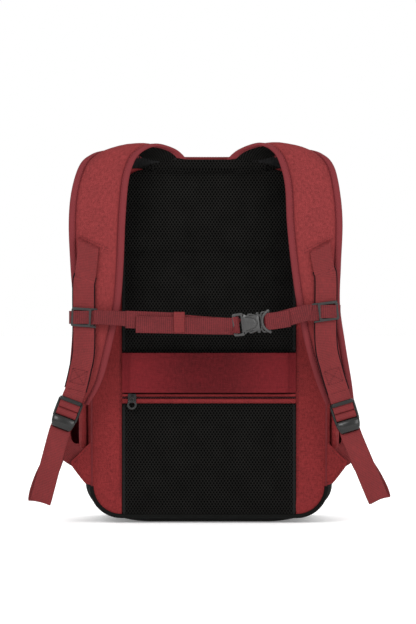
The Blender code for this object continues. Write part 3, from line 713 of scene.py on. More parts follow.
def slack(y):
    """How far the side cloth bellies in or out between the seams."""
    between = math.sin(math.pi * min(max((y - BACK_Y) / (SEAM_Y - BACK_Y), 0), 1))
    ahead = math.sin(math.pi * min(max((y - SEAM_Y) / (FRONT_Y - SEAM_Y), 0), 1))
    return -1.6 * between - 1.0 * ahead


def body_skin():
    """The whole bag's outer surface, with both faces filled in."""
    rings = []
    for shrink in (110.0, 80.0, 50.0, 24.0, 8.0):
        rings.append(body_ring(BACK_Y, shrink))
    for y in BODY_STATIONS:
        ring = body_ring(y)
        for p in ring:
            wave = noise.noise(p / 34.0) + 0.35 * noise.noise(p / 13.0)
            out = slack(y) + 1.1 * wave
            out = min(out, 1.2) if p.z > 6 else min(out, 0.0)
            if abs(p.x) > 40 and p.z > 6:
                p.x += math.copysign(out, p.x)
            if p.z > HEIGHT - 60:
                p.z += 0.8 * min(out, 0.8)
        rings.append(ring)
    for shrink in (5.0, 14.0, 30.0, 55.0, 80.0, 104.0):
        ring = body_ring(FRONT_Y, shrink)
        for p in ring:
            p.y += 0.3 + 0.9 * noise.noise(p / 45.0)
        rings.append(ring)
    return skin(rings)


def cut_skin(shape, keeps):
    """The part of a surface on the kept side of each plane: (point, direction kept)."""
    mesh = bpy.data.meshes.new("whole")
    mesh.from_pydata([tuple(p) for p in shape.verts], [], shape.faces)
    work = bmesh.new()
    work.from_mesh(mesh)
    bmesh.ops.recalc_face_normals(work, faces=work.faces)
    for place, kept in keeps:
        everything = list(work.verts) + list(work.edges) + list(work.faces)
        bmesh.ops.bisect_plane(
            work, geom=everything, plane_co=place, plane_no=kept, clear_inner=True, dist=0.01
        )
    out = Shape()
    work.verts.index_update()
    out.verts = [v.co.copy() for v in work.verts]
    for f in work.faces:
        out.face([v.index for v in f.verts])
    work.free()
    bpy.data.meshes.remove(mesh)
    return out


def arch(y, proud, foot):
    """The line over the bag from the foot of one side, over the top, to the other side."""
    arc, side, across = 14, 50, 40
    radius = TOP_RADIUS + proud
    outline = rounded(HALF_WIDTH + proud, -proud, HEIGHT + proud, BOTTOM_RADIUS, radius, arc, side, across)
    start = arc + 1
    end = start + 2 * side + across + 2 * (arc + 1)
    top = [p for p in outline[start:end] if p[1] > foot]
    return [Vector((HALF_WIDTH + proud, y, foot)), *[Vector((x, y, z)) for x, z in top],
            Vector((-HALF_WIDTH - proud, y, foot))]


def make_shells():
    """The body's cloth, the lid and the coated base, all cut from one skin, and the base's seam."""
    whole = body_skin()
    up, back, ahead = (0, 0, 1), (0, -1, 0), (0, 1, 0)
    rear = cut_skin(whole, [((0, 0, BASE_HEIGHT + 0.4), up), ((0, SEAM_Y - 5.6, 0), back)])
    add("rear_body_cloth", rear, [RED, LINING], "bag", "rear_shell", box_uv=True, solid=1.6)
    front = cut_skin(whole, [((0, 0, BASE_HEIGHT + 0.9), up), ((0, SEAM_Y + 5.8, 0), ahead)])
    add(
        "front_lid_cloth", front, [RED, LINING], "front_lid", "front_panel", box_uv=True,
        solid=1.6
    )
    boot = cut_skin(whole, [((0, 0, BASE_HEIGHT), (0, 0, -1))])
    add(
        "base_boot_cloth", boot, [BOOT, LINING_BLACK], "bag", "base_boot", box_uv=True,
        solid=1.8
    )

    edge = [Vector((HALF_WIDTH - insets_at(y)[0] + 0.2, y, 0)) for y in BODY_STATIONS[3:]]
    across = [
        Vector((HALF_WIDTH - insets_at(FRONT_Y)[0] - 6.0 * i, FRONT_Y + 0.6, 0)) for i in range(1, 43)
    ]
    loop = edge + across + [Vector((-p.x, p.y, 0)) for p in reversed(edge)]
    level = [Vector((p.x, p.y, BASE_HEIGHT - 1.6)) for p in loop]
    add("boot_seam_piping", tube(level, 1.3), BOOT, "bag")
    rows = [[Vector((p.x, p.y, z)) for p in loop] for z in (BASE_HEIGHT - 5.0, BASE_HEIGHT - 7.6)]

    def outward(p):
        return Vector((p.x / 40, 1.0 if p.y > 88 else 0.02, 0)).normalized()

    add("boot_stitching", stitches(rows, outward), TAPE, "bag")


def make_main_zip():
    """Tape and teeth on each side of the seam, and a rolled piping where the cloth meets the tape."""
    for name, body, y0, y1, cad in (
        ("main_zip_rear", "bag", SEAM_Y - 7.0, SEAM_Y - 0.9, "main_zip_rear_chain"),
        ("main_zip_front", "front_lid", SEAM_Y + 0.9, SEAM_Y + 7.2, "main_zip_front_chain"),
    ):
        foot = BASE_HEIGHT + 3.0
        rows = [arch(y0, 0.5, foot), arch(y1, 0.5, foot), arch(y1, 1.3, foot), arch(y0, 1.3, foot)]
        add(name + "_tape", skin(list(map(list, zip(*rows)))), TAPE, body, cad)
        outer = y0 if body == "bag" else y1
        add(name + "_piping", tube(arch(outer, 0.6, foot), 1.5), RED_EDGE, body)
        teeth = Shape()
        inner = SEAM_Y - 0.9 if body == "bag" else SEAM_Y + 0.9
        line = resample(arch(inner, 1.6, foot + 2.0), 2.5)
        shift = 0.0 if body == "bag" else 0.5
        toward = 1 if body == "bag" else -1
        for a, b in zip(line, line[1:]):
            along = (b - a).normalized()
            out = along.cross(Vector((0, 1, 0))).normalized()
            if out.z < 0 and abs(a.z - HEIGHT) < 30:
                out = -out
            if out.x * a.x < 0 and abs(a.z - HEIGHT) >= 30:
                out = -out
            centre = a + (b - a) * (0.25 + shift) - Vector((0, toward * 0.3, 0))
            tooth = Shape()
            for lift, half, reach in ((-0.5, 0.62, 1.0), (0.35, 0.62, 1.0), (0.7, 0.4, 0.75)):
                for s, t in ((-1, -1), (1, -1), (1, 1), (-1, 1)):
                    tooth.verts.append(centre + along * s * half + Vector((0, t * reach, 0)) + out * lift)
            for level in (0, 4):
                for j in range(4):
                    k = (j + 1) % 4
                    tooth.face((level + j, level + k, level + 4 + k, level + 4 + j))
            tooth.face((0, 3, 2, 1))
            tooth.face((8, 9, 10, 11))
            teeth.join(tooth)
        add(name + "_teeth", teeth, COIL, body)


def make_back_panel():
    """The red panel under the pads, its piping, the base's black rim and the mesh past the pads."""
    profile = [(0.4, 1.9), (0.0, 0.8), (0.3, 0.0), (1.6, -0.7), (4.5, -1.4), (9.0, -2.1), (14.0, -2.5)]
    profile += [(19.0, -2.5), (24.0, -2.0), (29.0, -1.2), (33.0, -0.5), (36.5, -0.1), (60.0, 0.0)]
    rings = []
    for inset, lift in profile:
        outline = rounded(
            PANEL_HALF_WIDTH - inset,
            PANEL_Z[0] + min(inset, 22.0) * 0.6 + max(inset - 22.0, 0.0) * 0.2,
            PANEL_Z[1] - min(inset, 22.0) * 0.45,
            max(36.0 - 0.5 * inset, 8.0),
            max(52.0 - 0.5 * inset, 8.0),
            arc=12,
            side=70,
            across=40,
        )
        rings.append([(x, PANEL_Y + lift * smoothstep((abs(x) - 99.0) / 10.0), z) for x, z in outline])
    shape = skin(rings, caps=False)
    shape.face(range(len(shape.verts) - len(rings[0]), len(shape.verts)))
    puffed = crumple(
        shape, amount=1.1, size=38.0, seed=2, keep=lambda p: 1.0 if p[1] < PANEL_Y - 0.9 else 0.15
    )
    add("back_panel_cloth", puffed, RED, "bag", "back_panel", box_uv=True)
    outline = rounded(
        PANEL_HALF_WIDTH + 0.6, PANEL_Z[0] - 0.6, PANEL_Z[1] + 0.6, 36.0, 52.0, arc=14, side=70, across=40
    )
    seam = tube([(x, PANEL_Y + 1.2, z) for x, z in outline], 1.25, closed=True)
    add("back_panel_piping", seam, RED_EDGE, "bag")
    foot = sorted((p for p in outline if p[1] < 44.0), key=lambda p: math.atan2(p[0], 60.0 - p[1]))
    rim = tube([(x * 1.004, PANEL_Y - 0.4, z - 0.2) for x, z in foot], 2.7)
    add("base_rim_binding", rim, BOOT, "bag")
    rows = []
    for sign in (-1, 1):
        rows.append([Vector((sign * 107.6, PANEL_Y - 0.75, z)) for z in range(20, 420, 8)])
    add("back_panel_stitching", stitches(rows), RED_THREAD, "bag")
    for part, (low, high, corner) in (
        ("low", (PANEL_Z[0] + 0.6, 145.0, 3.0)), ("high", (204.0, 425.5, 25.0))
    ):
        field = rounded(PAD_HALF_WIDTH + 0.3, low, high, 3.0, corner, arc=10, side=30, across=30)
        sheet = plate(field, [], half=0.8, bevel=0.3, place=lambda a, b, n: (a, PANEL_Y - 1.3 + n, b))
        add("mesh_field_" + part, sheet, MESH, "bag", box_uv=True)


# ---- pads


def pad_grid(half_width, low, high, radius_low, radius_high, step=3.6):
    """Points of a rounded rectangle as a grid; each has its place and its distance from the edge."""
    nx = int(round(2 * half_width / step))
    nz = int(round((high - low) / step))
    rows = []
    for j in range(nz + 1):
        row = []
        for i in range(nx + 1):
            x = -half_width + 2 * half_width * i / nx
            z = low + (high - low) * j / nz
            edge = min(half_width - abs(x), z - low, high - z)
            lower = z < (low + high) / 2
            radius = radius_low if lower else radius_high
            cz = low + radius if lower else high - radius
            dx = abs(x) - (half_width - radius)
            dz = cz - z if lower else z - cz
            if dx > 0 and dz > 0:
                scale = max(dx, dz) / math.hypot(dx, dz)
                x = math.copysign(half_width - radius + dx * scale, x)
                z = cz + (-dz if lower else dz) * scale
            row.append((x, z, edge))
        rows.append(row)
    return rows


SWELL_FRAMES = 20


def swell(piece, pinned, pressure, cap):
    """Blows the piece up a little as cloth, with its pinned points held, and keeps the result."""
    group = piece.vertex_groups.new(name="pinned")
    group.add(pinned, 1.0, "REPLACE")
    before = np.array([v.co for v in piece.data.vertices])
    cloth = piece.modifiers.new("swell", "CLOTH")
    cloth.settings.vertex_group_mass = "pinned"
    cloth.settings.quality = 4
    cloth.settings.mass = 0.3
    cloth.settings.tension_stiffness = 12
    cloth.settings.compression_stiffness = 12
    cloth.settings.shear_stiffness = 6
    cloth.settings.bending_stiffness = 0.6
    cloth.settings.use_pressure = True
    cloth.settings.uniform_pressure_force = pressure
    cloth.settings.effector_weights.gravity = 0.0
    cloth.collision_settings.use_collision = False
    cloth.point_cache.frame_start = 1
    cloth.point_cache.frame_end = SWELL_FRAMES
    scene = bpy.context.scene
    for step in range(1, SWELL_FRAMES + 1):
        scene.frame_set(step)
    grown = piece.evaluated_get(bpy.context.evaluated_depsgraph_get()).to_mesh()
    after = np.array([v.co for v in grown.vertices])
    piece.evaluated_get(bpy.context.evaluated_depsgraph_get()).to_mesh_clear()
    piece.modifiers.remove(cloth)
    scene.frame_set(1)
    move = after - before
    far = np.linalg.norm(move, axis=1, keepdims=True)
    move *= np.minimum(1.0, cap * MM / np.maximum(far, 1e-9))
    piece.data.vertices.foreach_set("co", (before + move).ravel())
    piece.data.update()


def smoothstep(t):
    t = min(max(t, 0.0), 1.0)
    return t * t * (3 - 2 * t)


def make_pad(name, cad, low, high, radius_low, radius_high, crease=None):
    """A foam pad in spacer mesh: a crowned front sewn down all round, closed behind."""
    rows = pad_grid(PAD_HALF_WIDTH, low, high, radius_low, radius_high)
    nx, nz = len(rows[0]), len(rows)
    shape = Shape()
    pinned = []
    for back in (False, True):
        for j, row in enumerate(rows):
            for i, (x, z, edge) in enumerate(row):
                rim = min(edge / 5.5, 1.0)
                height = 2.6 + 1.6 * smoothstep(rim) + 4.2 * smoothstep((edge - 5.5) / 20.0)
                if crease:
                    height -= crease(x, z)
                y = PANEL_Y - 0.4 if back else PANEL_Y - 0.4 - height
                if back or edge < 6.0:
                    pinned.append(len(shape.verts))
                shape.verts.append(Vector((x, y, z)))
    half = nx * nz
    for j in range(nz - 1):
        for i in range(nx - 1):
            a, b, c, d = j * nx + i, j * nx + i + 1, (j + 1) * nx + i + 1, (j + 1) * nx + i
            flat = [(shape.verts[k].x, shape.verts[k].z) for k in (a, b, c, d)]
            x = abs(shape.verts[a].x + shape.verts[b].x) / 2
            shape.face((a, b, c, d), 1 if x > PAD_HALF_WIDTH - 5.4 else 0, flat)
            shape.face((half + d, half + c, half + b, half + a), 1)
    rim = [i for i in range(nx)] + [j * nx + nx - 1 for j in range(1, nz)]
    rim += [(nz - 1) * nx + i for i in range(nx - 2, -1, -1)] + [j * nx for j in range(nz - 2, 0, -1)]
    for a, b in zip(rim, rim[1:] + rim[:1]):
        shape.face((a, b, half + b, half + a), 1)
    pad = add(name, shape, [MESH, STRIP], "bag", cad, angle=70)
    swell(pad, pinned, pressure=4.0, cap=3.0)
    sub = pad.modifiers.new("smooth", "SUBSURF")
    sub.levels = sub.render_levels = 1
    paths = []
    heights = [low + 6 + i for i in range(0, int(high - low - 12), 6)]
    for x in (6.2 - PAD_HALF_WIDTH, PAD_HALF_WIDTH - 6.2):
        paths.append([Vector((x, PANEL_Y - 4.9, height)) for height in heights])
    add(name + "_stitching", stitches(paths), STRIP, "bag")
    return pad


def middle_crease(x, z):
    """How far the seam across the middle pad presses in."""
    height, depth, width = 281.0, 2.2, 3.2
    return depth * math.exp(-(((z - height) / width) ** 2)) * smoothstep((PAD_HALF_WIDTH - 4 - abs(x)) / 12)


def make_pads():
    make_pad("back_pad_lower_mesh", "back_pad_lower", *LOWER_PAD_Z, *SQUARE_CORNERS)
    make_pad("back_pad_middle_mesh", "back_pad_middle", *MIDDLE_PAD_Z, *SQUARE_CORNERS, middle_crease)
    make_pad("back_pad_upper_mesh", "back_pad_upper", *UPPER_PAD_Z, radius_low=2.5, radius_high=26.0)


def make_band():
    """The red trolley band: hems along both long edges, a slack middle, sewn down at both ends."""
    low, high = BAND_Z

    def sag_at(x, s):
        return 3.4 * math.sin(math.pi * s / (high - low)) * smoothstep((100 - abs(x)) / 60)

    stops = [0, 0.8, 2.2, 5.6, 6.6, 7.6, 12, 18, 24, 30, 36, 40.4, 41.4, 42.4, 45.8, 47.2, 48]
    rings = []
    half_route = [
        (-105, -86.9), (-102, -88.0), (-98, -90.4), (-92, -94.0), (-72, -95.5), (-36, -95.6), (0, -95.1)
    ]
    route = smooth_path(
        [(x, y, 0) for x, y in half_route] + [(-x, y, 0) for x, y in half_route[-2::-1]], 10
    )
    for p in route:
        front, back = [], []
        for s in stops:
            edge = min(s, (high - low) - s)
            hem = 0.45 if edge < 6.2 else (0.05 if edge < 7.0 else 0.25)
            round_off = 0.9 * max(1 - edge / 1.6, 0.0) ** 2
            sag = sag_at(p.x, s)
            ripple = 0.9 * noise.noise(Vector((p.x / 15, s / 90, 3.3)))
            y = p.y - 0.5 - hem + round_off + sag + ripple
            front.append(Vector((p.x, y, low + s)))
            back.append(Vector((p.x, p.y + 0.9 + sag + ripple, low + s)))
        rings.append(front + back[::-1])
    add("trolley_band_cloth", skin(rings), RED_BAND, "bag", "trolley_band", box_uv=True)
    rows = [
        [Vector((p.x, p.y - 0.5 + sag_at(p.x, s), low + s)) for p in route] for s in (6.8, high - low - 6.8)
    ]
    add("trolley_band_stitching", stitches(rows, radius=0.22), RED_THREAD, "bag")


def make_coil(name, x0, x1, z, y, out, material, body):
    """A coil zip's two rows of loops, which meet in the middle."""
    shape = Shape()
    count = int((x1 - x0) / 1.5)
    for i in range(count):
        x = x0 + (x1 - x0) * (i + 0.5) / count
        up = 1 if i % 2 else -1
        loop = tube(
            [(x - 0.2, y, z - up * 0.5), (x, y + out * 0.8, z + up * 0.6), (x + 0.1, y, z + up * 1.7)],
            0.42, sides=5
        )
        shape.join(loop)
    add(name, shape, material, body)


def make_rear_zip():
    """A zip sewn in under the band: a near-black tape that paints the shade of the gap, a narrow upper fold,
    the coil and a wide lower welt.
    """
    z = REAR_ZIP_Z
    x = PAD_HALF_WIDTH - 0.4

    def strip(name, profile, material, replaces=()):
        rings = []
        for i in range(61):
            px = -x + 2 * x * i / 60
            wob = 0.25 * noise.noise(Vector((px / 30, 1.7, 0)))
            rings.append([Vector((px, py + wob, pz)) for py, pz in profile])
        add(name, skin(rings), material, "bag", replaces, box_uv=True)

    back = PANEL_Y - 0.3
    # The zip tape is coloured near-black as painted shade of the gap between the band and the fold.
    strip(
        "rear_zip_tape_cloth",
        [(back, z - 6.0), (back, z + 6.0), (back - 1.0, z + 6.0), (back - 1.0, z - 6.0)],
        SHADE_BLACK,
        "rear_zip_tape",
    )
    strip(
        "rear_zip_upper_fold",
        [(back - 0.6, z + 1.9), (back - 2.0, z + 1.9), (back - 2.9, z + 2.4), (back - 3.2, z + 3.6),
         (back - 2.8, z + 4.9), (back - 0.6, z + 5.4)],
        RED,
    )
    strip(
        "rear_zip_lower_welt",
        [(back - 0.6, z - 6.0), (back - 2.0, z - 6.2), (back - 3.4, z - 5.2), (back - 3.9, z - 3.4),
         (back - 3.6, z - 1.6), (back - 2.6, z - 0.7), (back - 0.6, z - 0.6)],
        RED,
    )
    make_coil("rear_zip_coil", -x, x, z + 0.6, back - 1.2, -1, RED_COIL, "bag")
    row = [[Vector((px, back - 3.9, z - 4.6)) for px in range(-100, 101, 5)]]
    add(
        "rear_zip_stitching", stitches(row, pitch=3.0, length=2.0, radius=0.3), RED_THREAD, "bag",
    )
    make_zip_slider("rear_zip", REAR_SLIDER_X, PANEL_Y - 2.6, z, pull_y=-96.0, out=-1, length=13.2)


def make_zip_slider(name, x, y, z, pull_y, out, length):
    """A slider's body with its bridge, and a ring pull that hangs from it."""
    body = rectangle(-5.2, 5.2, -6.0, 5.6, 2.6)
    shape = plate(body, [], half=1.1, bevel=0.5, place=lambda a, b, n: (x + a, y + out * (1.6 + n), z + b))
    notch = plate(
        rectangle(-3.6, 3.6, -4.2, 4.2, 1.8), [], half=0.7, bevel=0.4,
        place=lambda a, b, n: (x + a, y + out * (3.1 + n), z + b)
    )
    over = [(y + out * 2.4, z + 3.4), (pull_y + out * 0.6, z + 2.6), (pull_y + out * 1.6, z + 0.4)]
    over += [(pull_y + out * 0.8, z - 1.8), (y + out * 2.4, z - 3.2)]
    bridge = smooth_path([(x, depth, height) for depth, height in over], 5)
    shape.join(notch).join(tube(bridge, 0.85, sides=8))
    add(
        name + "_slider_body", shape, METAL, name.split("_zip")[0] + "_slider",
        name + "_slider"
    )
    foot = -length
    middle = foot + 5.4
    outer = [(-1.7, 1.2), (1.7, 1.2), (2.2, -1.6)]
    outer += [(5.9 * math.cos(t), middle + 5.9 * math.sin(t)) for t in np.linspace(1.1, -4.24, 21)]
    outer += [(-2.2, -1.6)]
    slot = rectangle(-0.9, 0.9, -2.4, -0.5, 0.5)
    pull = plate(
        round_corners(outer, 0.5, 2), [circle(middle, 3.3, 18), slot], half=0.95, bevel=0.45,
        place=lambda a, b, n: (x + a, pull_y + n, z + b)
    )
    body_name = name.split("_zip")[0] + "_pull"
    add(name + "_ring_pull", pull, GLOSS, body_name, name + "_pull")


# ---- yoke, handle, side pockets, wings


def make_yoke():
    """Mesh, then ribbed lining above it, puffed over the strap roots and rolled in at the top."""
    columns, levels = 203, 12
    rings = []
    for level in range(levels + 1):
        t = level / levels
        ring = []
        for i in range(columns):
            x = -101 + i
            out = abs(x)
            low = 416 + 12 * smoothstep((out - 60) / 25)
            top = 437.4 + 5.8 * smoothstep((out - 22) / 40) - 5.0 * smoothstep((out - 90) / 11)
            z = low + (top - low) * t
            bulge = 11.8 * smoothstep(t * 1.5) * (1 - 0.5 * smoothstep((out - 92) / 9))
            rib = 0.45 * math.sin(x * 2 * math.pi / 3.6) * smoothstep((z - mesh_top(x)) / 3)
            ring.append(Vector((x, PANEL_Y - 1.6 - bulge + rib, z)))
        rings.append(ring)
    for back, up in ((1.4, 1.4), (4.0, 2.0), (9.0, 1.2)):
        rings.append([p + Vector((0, back, up * 0.5)) for p in rings[levels]])
    shape = skin(rings, closed=False, caps=False)
    for i, corners in enumerate(shape.faces):
        middle = sum((shape.verts[c] for c in corners), Vector()) / 4
        shape.kinds[i] = 1 if middle.z > mesh_top(middle.x) else 0
    cad = "strap_yoke"
    add(
        "yoke_mesh", shape, [MESH, LINING_BLACK], "bag", cad, angle=80, box_uv=True,
        solid=1.2
    )


def mesh_top(x):
    """The height of the arched line where the mesh gives way to the ribbed lining."""
    return 441.5 - 15.5 * (x / 95) ** 2


def make_handle():
    """A padded loop that lies flat over the top, its stitching, and the tabs that hold its ends."""
    height = 441.3
    up = Vector((0, 0, 1))
    half_route = [(-46, -79), (-46, -66), (-42, -54), (-30, -47), (0, -45)]
    route = half_route + [(-x, y) for x, y in half_route[-2::-1]]
    points = smooth_path([(x, y, height) for x, y in route], 8)
    rings = []
    ring_at = [(-1, 0.0), (-0.97, 0.55), (-0.85, 0.9), (-0.7, 0.8), (-0.4, 0.95), (0, 1.0)]
    half = ring_at + [(-u, h) for u, h in ring_at[-2::-1]]
    section = half + [(u, -h) for u, h in half[-2:0:-1]]
    for p, t in zip(points, tangents(points)):
        across = up.cross(t).normalized()
        rings.append([p + across * u * 9.0 + Vector((0, 0, h * 2.3)) for u, h in section])
    handle = add("grab_handle_loop", skin(rings), RED_WEBBING, "handle", "grab_handle")
    rows = []
    for w in (-6.6, 6.6):
        free = [(p, t) for p, t in zip(points, tangents(points)) if p.y > -70]
        rows.append([p + up.cross(t).normalized() * w + up * 2.0 for p, t in free])
    add("grab_handle_stitching", stitches(rows, (0, 0, 1)), RED_THREAD, "handle")
    anchors = Shape()
    for x in (-46, 46):
        tab = [(x, -77.5, 440.2), (x, -82, 441.0), (x, -86.2, 438.6), (x, -87.0, 431.0)]
        anchors.join(ribbon(tab, [Vector((1, 0, 0))] * 4, width=19.0, thickness=1.6))
    add("handle_anchor_tabs", anchors, RED_WEBBING, "bag")


def make_side_pocket(side):
    """A bottle pocket with a gathered belly and a bound mouth that rises towards the front."""
    sign = SIDES[side]
    back, front = -64.0, 17.0
    foot = BASE_HEIGHT + 2.0
    rings = []
    for level in range(33):
        t = level / 32
        ring = []
        for i in range(37):
            a = math.pi * i / 36
            y = (back + front) / 2 - (front - back) / 2 * math.cos(a)
            hem = 92.5 + 47.0 * smoothstep((y - back - 10) / 68)
            z = foot + (hem - foot) * t
            belly = float(
                np.interp(z, (50, 56, 66, 82, 92, 104, 118, 152), (2.5, 7, 11, 14.5, 18.5, 22, 22, 18))
            )
            pleat = 0.8 * math.sin(y * 0.42) * smoothstep((t - 0.6) / 0.4) * math.sin(a)
            soft = 0.8 * noise.noise(Vector((sign, y / 22, z / 22))) * math.sin(a)
            x = HALF_WIDTH + 0.8 + belly * math.sin(a) ** 0.5 + pleat + soft
            ring.append(Vector((sign * x, y, z)))
        rings.append(ring)
    name, cad = "side_pocket_%s_" % side, "side_pocket_" + side
    shape = skin(rings, closed=False, caps=False)
    add(name + "cloth", shape, [RED, LINING_RED], "bag", cad, box_uv=True, solid=1.4)
    mouth = rings[-1]
    add(name + "hem", tube([p + Vector((0, 0, 0.4)) for p in mouth], 1.4), RED_STRAP, "bag")
    row = [p - Vector((0, 0, 6.0)) + Vector((sign * 0.3, 0, 0)) for p in mouth[2:-2]]
    add(name + "stitching", stitches([row], (sign, 0, 0)), RED_THREAD, "bag")
    rings = []
    low, high = 66, 184
    for level in range(29):
        z = low + (high - low) * level / 28
        swell_out = 8.6 * smoothstep((z - low) / 24) * smoothstep((high - z) / 46)
        ring = []
        for k in range(15):
            a = math.pi * k / 14
            fold = 0.9 * math.sin(5 * a + z / 17)
            out = 0.2 + swell_out * math.sin(a) ** 0.7 + fold * math.sin(a)
            ring.append(Vector((sign * (HALF_WIDTH - 0.6 + max(out, 0.0)), -63 - 13.5 * math.cos(a), z)))
        rings.append(ring)
    gusset = skin(rings, closed=False, caps=False)
    add("side_gusset_%s_cloth" % side, gusset, RED, "bag", box_uv=True, solid=0.8)


def make_wing(side):
    """The folded triangular tab that anchors the adjuster webbing, with its stitched edges."""
    sign = SIDES[side]
    base = PANEL_HALF_WIDTH + 0.5
    corners = [
        (base - 2, 43.5), (150, 47.5), (158, 58), (166.0, 69), (167.0, 74), (160, 80), (151, 89.5),
        (base - 2, 100.5)
    ]
    outline = round_corners(corners, 3.0, 4)

    def place(a, b, n):
        lift = 1.0 * math.sin(math.pi * min(max((a - base) / 26, 0), 1))
        return (sign * a, PANEL_Y + 2.6 - n - 0.45 * (a - base) - lift, b)

    tab = plate(outline, [], half=1.15, bevel=0.6, place=place)
    add("wing_%s_cloth" % side, tab, RED, "bag", "wing_" + side)
    rows = [
        [
            Vector(place(a, b, 1.35)) for a, b in (
                (base + 1, 47.5), (150, 51.5), (156.5, 60.5), (162.0, 70.0)
            )
        ]
    ]
    rows.append(
        [
            Vector(place(a, b, 1.35)) for a, b in (
                (base + 1, 96.0), (149.5, 86.5), (158.0, 77.5), (162.0, 73.0)
            )
        ]
    )
    add("wing_%s_stitching" % side, stitches(rows), RED_THREAD, "bag")


# ---- inside and front


def make_inside():
    """The stiffener in the back and the laptop sleeve against it."""
    board = plate(
        rectangle(-124, 124, 60, 412, 24.0), [], half=0.9, bevel=0.4,
        place=lambda a, b, n: (a, BACK_Y + 4.3 + n, b)
    )
    add("back_board_cover", board, LINING_BLACK, "bag", "back_board", box_uv=True)
    rings = []
    half_width = 127
    low, high = 56, 344
    for i in range(41):
        x = -half_width + 2 * half_width * i / 40
        side = smoothstep((half_width - abs(x)) / 14)
        column = []
        for j in range(25):
            z = low + (high - low) * j / 24
            edge = smoothstep(min(z - low, high - z) / 14)
            uneven = 1 + 0.3 * noise.noise(Vector((x / 40, 0, z / 40)))
            y = -71.0 + 21.5 * min(side, smoothstep((z - 50) / 20)) + 3.0 * side * edge * uneven
            column.append(Vector((x, y, z)))
        rings.append(column)
    panel = skin(rings, closed=False, caps=False)
    sleeve = add("laptop_sleeve_panel", panel, LINING, "bag", "laptop_sleeve", solid=3.0)
    lip = [ring[-1] + Vector((0, -1.4, 0.4)) for ring in rings]
    add("laptop_sleeve_binding", tube(lip, 2.4), TAPE, "bag")
    strap = ribbon(
        [(0, -48, 300), (0, -44.5, 340), (0, -52, 356), (0, -70, 360), (0, -77, 352)],
        [Vector((1, 0, 0))] * 5, width=30.0, thickness=2.0
    )
    add("laptop_sleeve_tab", strap, TAPE, "bag")


def make_front_pocket():
    """A flat front pocket that stands off the lid, and its zip above."""
    radius = 24.0
    low, high = 62.0, 302.0
    half_width = 108.0
    profile = [
        (0.0, 0.6), (0.0, 5.0), (1.2, 8.0), (4.0, 10.8), (9.0, 12.6), (16.0, 13.4), (28.0, 13.8),
        (50.0, 14.0), (80.0, 14.0)
    ]
    rings = []
    for inset, depth in profile:
        corner = max(radius - 0.4 * inset, 6)
        outline = rounded(
            half_width - inset, low + inset, high - inset, corner, corner, arc=8, side=40, across=36
        )
        rings.append([Vector((x, FRONT_Y + depth, z)) for x, z in outline])
    shape = skin(rings, caps=False)
    shape.face(range(len(shape.verts) - len(rings[0]), len(shape.verts)))
    crumple(shape, amount=1.3, size=55.0, seed=4, keep=lambda p: smoothstep((p[1] - FRONT_Y - 6) / 6))
    add("front_pocket_cloth", shape, RED, "front_lid", "front_pocket", box_uv=True)
    outline = rounded(half_width + 0.2, low - 0.2, high + 0.2, radius, radius, arc=10, side=40, across=36)
    add(
        "front_pocket_piping", tube([(x, FRONT_Y + 1.5, z) for x, z in outline], 1.4, closed=True),
        RED_EDGE, "front_lid"
    )
    inner = rounded(
        half_width - 4.5, low + 4.5, high - 4.5, radius - 4.0, radius - 4.0, arc=10, side=40, across=36
    )
    add(
        "front_pocket_stitching",
        stitches([[Vector((x, FRONT_Y + 11.6, z)) for x, z in inner + inner[:1]]], (0, 1, 0)), RED_THREAD,
        "front_lid"
    )
    z = FRONT_ZIP_Z
    tape = plate(
        rectangle(-98, 98, z - 5.0, z + 5.0, 1.0), [], half=0.7, bevel=0.3,
        place=lambda a, b, n: (a, FRONT_Y + 1.3 + n, b)
    )
    add("front_zip_tape_cloth", tape, TAPE, "front_lid", "front_zip_tape")
    for s in (-1, 1):
        fold = tube(
            [Vector((-99 + 3.3 * i, FRONT_Y + 1.9, z + s * 4.8)) for i in range(61)], 1.9, sides=8,
            squash=0.8
        )
        add(
            "front_zip_fold_%s" % ("low" if s < 0 else "high"), fold, RED, "front_lid",
            box_uv=True
        )
    make_coil("front_zip_coil", -97, 97, z, FRONT_Y + 2.1, 1, COIL, "front_lid")
    make_zip_slider("front_zip", FRONT_SLIDER_X, FRONT_Y + 2.4, z, pull_y=100.6, out=1, length=13.5)


def make_main_sliders():
    """The two sliders that meet at the top of the main zip, and their pulls."""
    top = HEIGHT + 2.4
    for letter, x in (("a", -7.0), ("b", 7.0)):
        def lay(a, b, n):
            return (x + a, SEAM_Y + b, top + 1.7 + n)

        body = plate(
            round_corners(
                [(-4.8, -3.4), (-1.5, -4.8), (1.5, -4.8), (4.8, -3.4), (4.8, 4.0), (-4.8, 4.0)], 1.4
            ),
            [], half=1.4, bevel=0.6, place=lay
        )
        arch_line = smooth_path(
            [
                (x, SEAM_Y - 3.4, top + 2.0), (x, SEAM_Y - 1, top + 3.6), (x, SEAM_Y + 3, top + 3.7),
                (x, SEAM_Y + 6.4, top + 2.0)
            ],
            5
        )
        body.join(tube(arch_line, 0.8))
        add(
            "main_zip_slider_body_" + letter, body, METAL, "main_slider_" + letter,
            "main_zip_slider_" + letter
        )
        z = top + 1.4
        outer = round_corners(
            [(-1.6, 6.6), (1.6, 6.6), (3.4, 12), (3.8, 26), (2.2, 30), (-2.2, 30), (-3.8, 26), (-3.4, 12)],
            1.4
        )
        grips = Shape()
        pull = plate(
            outer, [circle(25.6, 1.9, 16)], half=0.95, bevel=0.45,
            place=lambda a, b, n: (x + a, SEAM_Y + b, z + n)
        )
        for b in (12.5, 15.0, 17.5, 20.0):
            grips.join(tube([(x - 2.4, SEAM_Y + b, z + 0.9), (x + 2.4, SEAM_Y + b, z + 0.9)], 0.4, sides=6))
        add(
            "main_zip_pull_tab_" + letter, pull.join(grips), PLASTIC, "main_pull_" + letter,
            "main_zip_pull_" + letter
        )


# ---- straps


